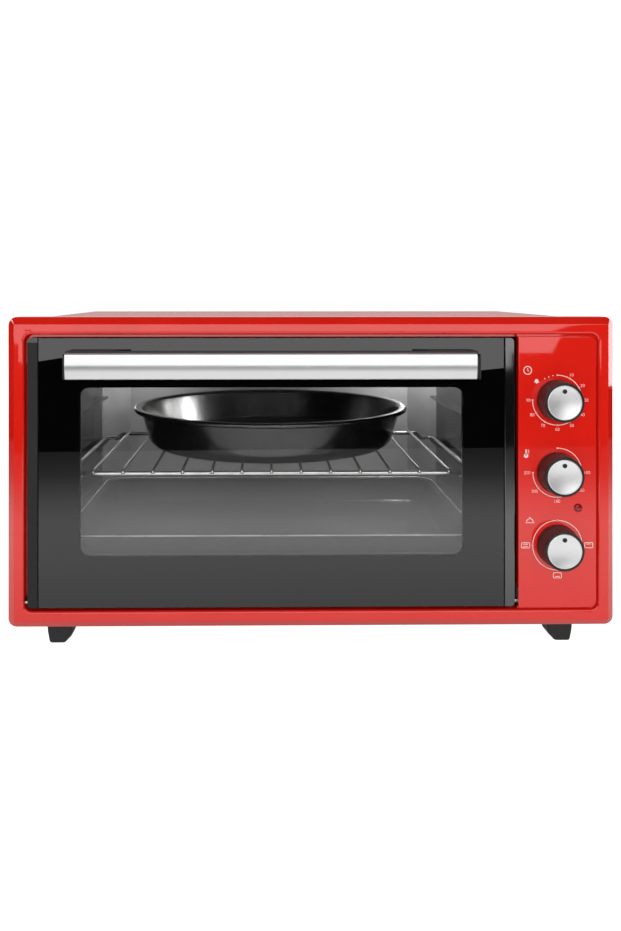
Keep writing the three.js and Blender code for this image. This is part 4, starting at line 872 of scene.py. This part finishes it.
def knob_profile(node):
    """The skirted body's line as (radius, y) or, where it is ribbed, (radius, y, True)."""
    left, right, front, back, _, _ = extent(node)
    base = (right - left) / 2
    ring, seat, recess = base - RING_WIDTH, CAP_SEAT, front + CAP_SEAT_DEPTH
    return [
        (0, recess), (seat, recess), (seat, front + 0.6), (seat + 0.12, front + 0.2), (seat + 0.45, front),
        (ring - 0.7, front), (ring - 0.25, front + 0.15), (ring, front + 0.55), (ring, front + 1.4),
        (ring + 0.08, front + 2.2, True), (ring + 0.5, (front + back) / 2, True),
        (base - 0.3, back - 4.2, True), (base - 0.3, back - 3.2), (base, back - 2.6), (base, back - 0.5),
        (base - 0.4, back), (0, back),
    ]


def cap_profile(node):
    """The bright cap's line: a shallow dish with a rolled rim."""
    left, right, rim, rear, _, _ = extent(node)
    radius = (right - left) / 2
    crest = radius - DISH_RIM
    dish = [(crest * share, rim + DISH_DEPTH * (1 - share ** 2)) for share in DISH_SHARES]
    return dish + [(crest + 0.1, rim), (radius - 0.35, rim + 0.1), (radius - 0.08, rim + 0.35),
                   (radius, rim + 0.8), (radius, rear), (0, rear)]


def knob_set(name):
    body, z = f"{name}_knob_set", KNOB_Z[name]
    grip = turned(knob_profile(f"{name}_knob"), Y, KNOB_X, z, KNOB_RIBS * 4, KNOB_RIBS)
    piece(f"{name}_grip", grip, KNOB, body, f"{name}_knob")
    cap = f"{name}_knob_cap"
    piece(f"{name}_disc", turned(cap_profile(cap), Y, KNOB_X, z, 128),
          turned_metal(f"{name}_cap_metal", at(KNOB_X, 0, z)), body, cap)
    rim = extent(cap)[2]
    spot = [(0, rim + 0.25), (1.7, rim + 0.27), (2.15, rim + 0.45), (2.15, rim + 1.4), (0, rim + 1.4)]
    piece(f"{name}_pointer", turned(spot, Y, KNOB_X, z + POINTER_AWAY, 32), KNOB, body)


for knob_name in KNOB_Z:
    knob_set(knob_name)

# Door: glass with its printed border, side trims and seal

GLASS_SIDES, GLASS_FRONT, GLASS_REAR = upright("door_glass")
GLASS_CORNER = 0.8
GLASS_EDGE = 0.5
WINDOW = (-222.15, 144.85, 92.05, 253.55)
WINDOW_CORNER = 9
PRINT_THICKNESS = 0.12
PRINT_INSET = 0.6
TRIM_OUTER_CORNER = 4
TRIM_INNER_CORNER = 0.6
TRIM_EDGE = 1.2
PIN_HOLE = 2.3
PIN_OVERCUT = 20
TRIM_END_HEIGHT = 4.6
SEAL_WIDTH = 4
SEAL_EDGE = 1.3
SEAL_CORNER = 12


def glass_pane():
    front, rear, edge = GLASS_FRONT, GLASS_REAR, GLASS_EDGE
    section = [(edge, front), (0, front + edge), (0, rear - edge), (edge, rear)]
    return framed(GLASS_SIDES, Y, [(*point, GLASS_CORNER) for point in section], 4)


def print_border():
    """The border fused to the glass, with the window left clear."""
    outer = drawn_in(GLASS_SIDES, PRINT_INSET, GLASS_CORNER, CORNER_STEPS)
    inner = rounded(*WINDOW, WINDOW_CORNER, CORNER_STEPS)
    return strip(outer, inner, GLASS_FRONT - PRINT_THICKNESS / 2, GLASS_FRONT + PRINT_THICKNESS, loop=True)


piece("front_glass", glass_pane(), PANE, "door", "door_glass")
piece("glass_border", print_border(), PRINT, "door")


def trim(side):
    """A side trim with round outer corners, and a hole for the hinge pin."""
    node = f"door_trim_{side}"
    sides, front, rear = upright(node)

    def outline(inset):
        outer, inner = max(TRIM_OUTER_CORNER - inset, 0.1), max(TRIM_INNER_CORNER - inset / 2, 0.1)
        radii = [inner, outer, outer, inner] if side == "left" else [outer, inner, inner, outer]
        return drawn_in(sides, inset, radii)

    made = piece(f"side_trim_{side}", plate(outline, front, rear, TRIM_EDGE, 5), TRIMS[side], "door",
                 node)
    pin = f"hinge_pin_{side}"
    pin_left, pin_right, *_ = extent(pin)
    hole = circle(*middle(pin)[1:], PIN_HOLE, 24)
    carve(made, extruded(hole, X, pin_left - PIN_OVERCUT, pin_right + PIN_OVERCUT))


for trim_side in ("left", "right"):
    trim(trim_side)


def trim_end():
    """The glossy end piece on the left trim's top."""
    left, right, front, _, _, high = extent("door_trim_left")
    radii = [TRIM_INNER_CORNER, TRIM_OUTER_CORNER, 0.2, 0.2]
    outline = rounded(left, right, high - TRIM_END_HEIGHT, high, radii)
    return extruded(outline, Y, front - 0.15, front + 1)


piece("trim_end_left", trim_end(), PRINT, "door")


def seal():
    """A hollow-section rubber seal, drawn as its outer shape."""
    sides, front, rear = upright("door_seal")
    section = rounded(0, SEAL_WIDTH, front, rear, SEAL_EDGE, 5)
    return framed(sides, Y, [(inset, y, SEAL_CORNER - inset) for inset, y in section], 8, loop=True)


piece("oven_seal", seal(), SEAL, "door", "door_seal")

# Handle: a bright channel, slightly bowed, over the dark bar

HANDLE_LEFT, HANDLE_RIGHT, HANDLE_FRONT, HANDLE_REAR, HANDLE_LOW, HANDLE_HIGH = extent("handle_cover")
HANDLE_UPPER_SLOPE = 0.04
HANDLE_LOWER_SLOPE = 0.23
HANDLE_BEND = 7
HANDLE_BREAK = 1.4
HANDLE_RISE = 0.9
HANDLE_CORNER = 2.2
HANDLE_SHEET = 1.3
HANDLE_END_GAP = 1.6


def handle_line(inset):
    """The channel's line in y and z from its lower rear edge over the front to its upper rear edge."""
    low, high = HANDLE_LOW, HANDLE_HIGH + HANDLE_RISE
    mid = (low + high) / 2
    half = (high - low) / 2 - inset
    corner = max(HANDLE_CORNER - inset, 0.6)
    reach = half - corner
    front = HANDLE_FRONT + inset

    def bowed(rise):
        drop = HANDLE_BREAK - rise
        if drop < 0:
            return front - HANDLE_UPPER_SLOPE * drop
        if drop < HANDLE_BEND:
            return front + HANDLE_LOWER_SLOPE * drop ** 2 / (2 * HANDLE_BEND)
        return front + HANDLE_LOWER_SLOPE * (drop - HANDLE_BEND / 2)

    lower = arc(bowed(-reach) + corner, mid - reach, corner, 270, 193, 5)
    across = [(bowed(reach * share / 12), mid + reach * share / 12) for share in range(-11, 12)]
    upper = arc(bowed(reach) + corner, mid + reach, corner, 177, 90, 5)
    return [(HANDLE_REAR, mid - half), *lower, *across, *upper, (HANDLE_REAR, mid + half)]


handle_section = handle_line(0) + handle_line(HANDLE_SHEET)[::-1]
channel = extruded(handle_section, X, HANDLE_LEFT, HANDLE_RIGHT - HANDLE_END_GAP)
piece("handle_shell", channel, HANDLE, "door", "handle_cover").visible_glossy = False
dress("handle_body", PLASTIC, 0.8).visible_glossy = False

# CAD nodes that keep their shape: finish, width of the softened edges, and how their names start

DRESSED = [
    (CASE_PAINT, 0.3, "outer_case"),
    (ZINC, 0.25, "base_plate back_panel heat_shield control_chassis"),
    (ZINC, 0.4, "timer_unit hinge_bracket"),
    (SHEET_BLACK, 0.3, "front_frame"),
    (SHEET_BLACK, 0.5, "door_frame"),
    (INNER_PANE, 0.5, "door_inner_glass"),
    (FOOT, 0.6, "foot"),
    (PLASTIC, 0.4, "cord_gland"),
    (PALE, 0.4, "terminal_block"),
    (PALE, 0.5, "thermostat_unit function_switch"),
    (FASTENER, 0.2, "back_screw handle_screw"),
    (STEEL, 0.2, "timer_shaft thermostat_shaft function_shaft thermostat_sensor"),
    (STEEL, 0.3, "hinge_pin"),
    # The side walls take the darker copy of the enamel, painted shade
    (SHADED_SIDE_ENAMEL, 0.45, "cavity_left_wall cavity_right_wall"),
    (ENAMEL, 0.45, "cavity_roof cavity_floor"),
    (ENAMEL, 0.4, "cavity_back_wall"),
]
for node_finish, node_edge, name_starts in DRESSED:
    for node_name in frame["nodes"]:
        if node_name.startswith(tuple(name_starts.split())):
            dress(node_name, node_finish, node_edge)

# Insulation

WOOL_COLUMNS = 44
WOOL_ROWS = 30
WOOL_EDGE = 0.25


def wool_height(column, row):
    """How far a pad's face stands out there, as a share of half its thickness."""
    s, t = column / WOOL_COLUMNS, row / WOOL_ROWS
    edge = min(s, 1 - s, t, 1 - t)
    crown = max(min(1, (edge * 14) ** 0.5), WOOL_EDGE)
    wave = 0.06 * math.sin(column * 1.7 + row * 0.9) + 0.05 * math.sin(row * 2.3 - column * 0.6)
    return crown * (0.9 + (wave if crown > 0.9 else 0))


def wool_pad(side_name):
    """A pad of mineral wool: a soft slab with drawn-in edges and an uneven face."""
    node = f"insulation_{side_name}"
    sides = extent(node)
    spans = list(zip(sides[::2], sides[1::2]))
    axis = min(range(3), key=lambda i: spans[i][1] - spans[i][0])
    low, high = spans.pop(axis)
    (u_low, u_high), (v_low, v_high) = spans

    def spot(column, row, side):
        u = u_low + (u_high - u_low) * (column / WOOL_COLUMNS)
        v = v_low + (v_high - v_low) * (row / WOOL_ROWS)
        place = (low + high) / 2 + side * ((high - low) / 2 * wool_height(column, row))
        return set_at([(u, v)], axis, place)[0]

    across = range(WOOL_COLUMNS + 1)
    rings = [[spot(c, row, 1) for c in across] + [spot(c, row, -1) for c in across[::-1]]
             for row in range(WOOL_ROWS + 1)]
    made = piece(f"wool_{side_name}", skin(rings), WOOL, "housing", node, 60)


for pad_place in ("top", "rear", "left"):
    wool_pad(pad_place)

# Heaters: bent sheathed rods with collars at the right wall

HEATER_RADIUS = 3.5
HEATER_BEND = 28
HEATER_INSET = 7
COLLAR_WALL_GAP = 1.3
# A collar's section, as its radius and its distance from the wall
COLLAR = [(7, 0), (7, 1.6), (6.4, 2), (3.4, 2), (3.4, 0)]


def heater(level):
    left, right, front, rear, low, high = extent(f"{level}_heater")
    z = (low + high) / 2
    near, far = front + HEATER_INSET, rear - HEATER_INSET
    turn = left + HEATER_RADIUS
    corners = [(right, near, z), (turn, near, z), (turn, far, z), (right, far, z)]
    solids = [tube(bent(corners, HEATER_BEND, 10), HEATER_RADIUS, 20)]
    wall = extent("cavity_right_wall")[1] - COLLAR_WALL_GAP
    profile = [(radius, wall - away) for radius, away in COLLAR]
    solids += [turned(profile, X, y, z, 28) for y in (near, far)]
    piece(f"{level}_rod", joined(*solids), SHEATH, "housing", f"{level}_heater")


heater("upper")
heater("lower")

# Rack

RAIL = 2.5
RAIL_MARGIN = 2.6
RAIL_RISE = 6
RAIL_BEND = 7.5
RAIL_RETURN = 18
RAIL_STEP = (17, 22.5)
SIDE_RAIL = 2.52
SIDE_RAIL_INSET = 17
WIRE = 1.7
WIRE_COUNT = 13
WIRE_BEND = 2.1
WIRE_DROP = 3.2
WIRE_SINK = 0.6
OUTER_WIRE_INSET = 33.4


def rack():
    """Two stepped cross bars joined by side rails, with the wires bent down over them."""
    left, right, front, rear, low, high = extent("wire_rack")
    mid = (left + right) / 2
    half = (right - left) / 2 - RAIL_MARGIN
    near = front + RAIL + WIRE * 2 - WIRE_SINK
    far = rear - RAIL - WIRE * 2 + WIRE_SINK
    side_z = low + RAIL_MARGIN
    rail_z = side_z + RAIL_RISE
    wire_z = high - WIRE
    foot, shoulder = half - RAIL_STEP[0], half - RAIL_STEP[1]
    parts = []
    for y, away in ((near, RAIL_RETURN), (far, -RAIL_RETURN)):
        side = [(half, y + away, side_z), (half, y, side_z), (foot, y, side_z), (shoulder, y, rail_z)]
        corners = [(mid - u, v, w) for u, v, w in side] + [(mid + u, v, w) for u, v, w in side[::-1]]
        parts.append(tube(bent(corners, RAIL_BEND, 8), RAIL, 16))
    for x in (mid - half, mid + half):
        ends = [(x, y, side_z) for y in (near + SIDE_RAIL_INSET, far - SIDE_RAIL_INSET)]
        parts.append(tube(ends, SIDE_RAIL, 16))
    start, end = near - RAIL - WIRE + WIRE_SINK, far + RAIL + WIRE - WIRE_SINK
    low_z = wire_z - WIRE_DROP
    for i in range(WIRE_COUNT):
        x = mid + (i / (WIRE_COUNT - 1) - 0.5) * (half - OUTER_WIRE_INSET) * 2
        corners = [(x, start, low_z), (x, start, wire_z), (x, end, wire_z), (x, end, low_z)]
        parts.append(tube(bent(corners, WIRE_BEND, 5), WIRE, 12))
    return joined(*parts)


piece("grid", rack(), CHROME, "rack", "wire_rack", 40)

# Pan

PAN_RIM = 8
PAN_FLARE = 8
PAN_FOOT = 16
PAN_SHEET = 1.6
PAN_LIP = 5


def pan():
    left, right, _, _, low, high = extent("round_pan")
    rim = (right - left) / 2
    x, y, _ = middle("round_pan")
    wall_top = rim - PAN_RIM
    lip_radius = PAN_LIP / 2
    foot_u, foot_v = wall_top - PAN_FLARE - PAN_FOOT, low + PAN_FOOT
    outside = [(0, low), *arc(foot_u, foot_v, PAN_FOOT, 270, 350, 10)]
    outside += [(wall_top - 0.6, high - PAN_LIP - 1.2), (wall_top + 0.6, high - PAN_LIP)]
    outside += arc(rim - lip_radius, high - lip_radius, lip_radius, 270, 450, 12)
    inside = [(wall_top + 1.5, high), (wall_top - 0.6, high - 0.8),
              (wall_top - PAN_SHEET - 0.4, high - PAN_LIP * 0.7)]
    inside += [*arc(foot_u, foot_v, PAN_FOOT - PAN_SHEET, 350, 270, 10), (0, low + PAN_SHEET)]
    return turned(outside + inside, Z, x, y, 144)


piece("black_pan", pan(), COATING, "rack", "round_pan", 50)

# Tray

*TRAY_SIDES, TRAY_LOW, TRAY_HIGH = extent("baking_tray")
TRAY_CORNER = 26
TRAY_SHEET = 1.2
TRAY_LIP = 8
TRAY_FOOT = 17
TRAY_BEAD = 1.1
TRAY_BEAD_DROP = 0.6


def tray():
    """The dish in one sheet, from the middle of its inside over the rim to the middle of its underside."""
    lip, foot, sheet = TRAY_LIP, TRAY_FOOT, TRAY_SHEET
    low, high = TRAY_LOW, TRAY_HIGH
    section = [
        (foot + sheet + 4, low + sheet), (foot + sheet + 0.9, low + sheet + 0.7),
        (foot + sheet - 0.4, low + sheet + 2.4),
        (lip + sheet + 0.6, high - 2.2), (lip + sheet - 0.3, high - 0.5),
        (lip - 1, high), (1, high), (0.3, high - 0.2), (0, high - 0.7), (0, high - sheet - 0.6),
        (0.5, high - sheet - 1), (1.2, high - sheet), (lip - 1.2, high - sheet),
        (lip - 0.3, high - sheet - 0.7), (foot - 1.6, low + 2.2), (foot - 0.4, low + 0.5), (foot + 3.6, low),
    ]
    return framed(TRAY_SIDES, Z, [(inset, z, TRAY_CORNER - inset / 2) for inset, z in section], 12)


def tray_bead():
    """The rolled edge round the tray's rim, painted bright: a painted highlight along the rim."""
    section = circle(TRAY_BEAD, TRAY_HIGH - TRAY_BEAD_DROP, TRAY_BEAD, 12)
    return framed(TRAY_SIDES, Z, [(inset, z, TRAY_CORNER - inset) for inset, z in section], 12, loop=True)


piece("enamel_tray", tray(), TRAY, "tray", "baking_tray", 40)
piece("tray_rim_bead", tray_bead(), RIM_HIGHLIGHT, "tray")

# Camera, floor, lamps and reflector cards; from here on places are metres, but for those given to at()

CAMERA_PLACE = (-0.04725, -1.02145, 0.345)
CAMERA_YAW = -0.74
CAMERA_LENS = 34.14
CAMERA_SHIFT = (0.0388, -0.1864)
FLOOR_SPAN = 12
FLOOR_LIT = 0.9
FLOOR_WHITE = 225
BODY_HALF_WIDTH = 0.292
# How bright the floor looks in reflections, by its distance from the body in metres
FLOOR_GLOSS = [
    (0, 0.5), (0.06, 0.72), (0.144, 0.8), (0.23, 0.91), (0.3, 0.98), (0.38, 1.02), (0.49, 1.02),
    (0.585, 0.84), (0.69, 0.59), (0.82, 0.31), (0.92, 0.23), (1.0, 0.19), (1.08, 0.15), (1.8, 0.15),
]
# A ramp's colours end at 1, so it holds this share of the brightness
RAMP_SHARE = 0.5


def camera():
    data = bpy.data.cameras.new("camera")
    data.lens = CAMERA_LENS
    data.shift_x, data.shift_y = CAMERA_SHIFT
    data.clip_end = 50
    made = linked("camera", data)
    made.location = CAMERA_PLACE
    made.rotation_euler = (math.radians(90), 0, math.radians(CAMERA_YAW))
    bpy.context.scene.camera = made


def stage_piece(name, corners, material):
    made = mesh_object(name, corners, [tuple(range(len(corners)))])
    made.data.materials.append(material)
    return made


def floor_glow(finish):
    """The floor's brightness in reflections, by how far it lies from the body."""
    place = finish.made("NewGeometry").outputs["Position"]
    nothing = (0, 0, 0)
    distance = finish.length(place, ("ABSOLUTE", nothing), ("SUBTRACT", (BODY_HALF_WIDTH, -FRONT, 0)),
                             ("MAXIMUM", nothing))
    reach = FLOOR_GLOSS[-1][0]
    ramp = finish.made("ValToRGB", {"Fac": finish.spread(distance, 0, 1, 0, reach)})
    stops = ramp.color_ramp.elements
    for i, (away, level) in enumerate(FLOOR_GLOSS):
        stop = stops[i] if i < 2 else stops.new(away / reach)
        stop.position = away / reach
        stop.color = (*[level * RAMP_SHARE] * 3, 1)
    return finish.times(ramp.outputs["Color"], 1 / RAMP_SHARE)


def floor():
    finish = Finish("floor", FLOOR_WHITE, 0.9, Specular_IOR_Level=0)
    matt = finish.shader.outputs[0]
    lit = finish.made("AddShader", {0: finish.glow(FLOOR_LIT), 1: matt}).outputs[0]
    seen = by_ray(finish.tree, "Camera Transmission", lit, matt)
    finish.shows(by_ray(finish.tree, "Glossy", finish.glow(floor_glow(finish)), seen))
    corners = rectangle(-FLOOR_SPAN, FLOOR_SPAN, -FLOOR_SPAN, FLOOR_SPAN)
    stage_piece("floor", set_at(corners, Z, 0), finish.material)


def card(name, corners, strength):
    """A card that only shows in reflections."""
    finish = Finish(name, 0, 1)
    finish.shows(finish.glow(strength))
    made = stage_piece(name, [at(*corner) for corner in corners], finish.material)
    for ray in ("camera", "diffuse", "shadow", "volume_scatter"):
        setattr(made, f"visible_{ray}", False)


CARD_AHEAD = 845
CARD_LEVEL = 1.6
# The bright card's lower edge, which the glass and the surround mirror, then its top
CARD_EDGE = [
    (-900, 245.8), (-490, 245.8), (-490, 210), (-478.3, 211.9), (-432.7, 219.1), (369.3, 194.3), (415.6, 199),
    (430, 200.4), (430, 227.8), (508.3, 227.8), (521.8, 252.7), (542.9, 279.6), (900, 1250), (-900, 1250),
]
# The dark card behind it: below its lower edge, from left to right, the floor shows
DARK_CARD_AHEAD = 860
DARK_EDGE = [(-4500, 9.3), (4500, 70.7), (4500, 4200), (-4500, 4200)]
# Plain cards: the axis across each and its place along it, then its four sides, then its brightness
PLAIN_CARDS = {
    "dark_roof": (Z, 1300, (-2600, 2600, -DARK_CARD_AHEAD, 1400), 0),
    "back_card": (Y, 1500, (-1600, 1600, 200, 620), 0.62),
    "right_card": (X, 1200, (250, 500, 157, 1200), 3.9),
    "mitre_card": (X, -1490, (150, 400, 950, 1250), 4),
    "left_flag": (X, -1500, (-DARK_CARD_AHEAD, 600, 1, 1300), 0),
    "right_flag": (X, 1500, (-DARK_CARD_AHEAD, 600, 1, 1300), 0),
}


def cards():
    card("bright_card", set_at(CARD_EDGE, Y, -CARD_AHEAD), CARD_LEVEL)
    card("dark_card", set_at(DARK_EDGE, Y, -DARK_CARD_AHEAD), 0)
    for name, (axis, place, sides, strength) in PLAIN_CARDS.items():
        card(name, set_at(rectangle(*sides), axis, place), strength)


def lamp(name, place, target, size, power, mirrored=False):
    """A rectangular lamp turned to its target."""
    data = bpy.data.lights.new(name, "AREA")
    data.shape = "RECTANGLE"
    data.size, data.size_y = size
    data.energy = power
    made = linked(name, data)
    made.location = place
    made.rotation_euler = (Vector(target) - Vector(place)).to_track_quat("-Z", "Y").to_euler()
    made.visible_camera = False
    made.visible_glossy = mirrored


WORLD_FILL = 0.34


def world():
    """White where it is seen, and a weak fill for the rest."""
    made = bpy.data.worlds.new("studio")
    bpy.context.scene.world = made
    made.use_nodes = True
    tree = made.node_tree
    grounds = []
    for strength in (1, WORLD_FILL):
        inputs = {"Strength": strength, "Color": (1, 1, 1, 1)}
        grounds.append(made_node(tree, "ShaderNodeBackground", inputs).outputs[0])
    seen = by_ray(tree, "Camera Glossy Transmission", *grounds)
    tree.links.new(seen, tree.nodes["World Output"].inputs["Surface"])


camera()
floor()
cards()
world()
lamp("front_lamp", (0, -2.6, 0.4), (0, 0, 0.15), (1.8, 1.2), 53)
lamp("left_lamp", (-2.2, 1.9, 1.2), (0, 0, 0.15), (1.4, 1.2), 34)
lamp("right_lamp", (2.2, 1.9, 1.2), (0, 0, 0.15), (1.4, 1.2), 34)
lamp("top_lamp", (0.2, 0.4, 2.2), (0, 0, 0.2), (1.6, 1.6), 6)
# Two small lamps under the cavity's roof, above what the window shows
lamp("cavity_lamp_right", at(152, 290, 274), at(70, 353, 190), (0.022, 0.022), 0.62, mirrored=True)
lamp("cavity_lamp_left", at(-190, 285, 274), at(-215, 345, 150), (0.026, 0.026), 0.36)
bpy.context.scene.view_settings.view_transform = "Standard"
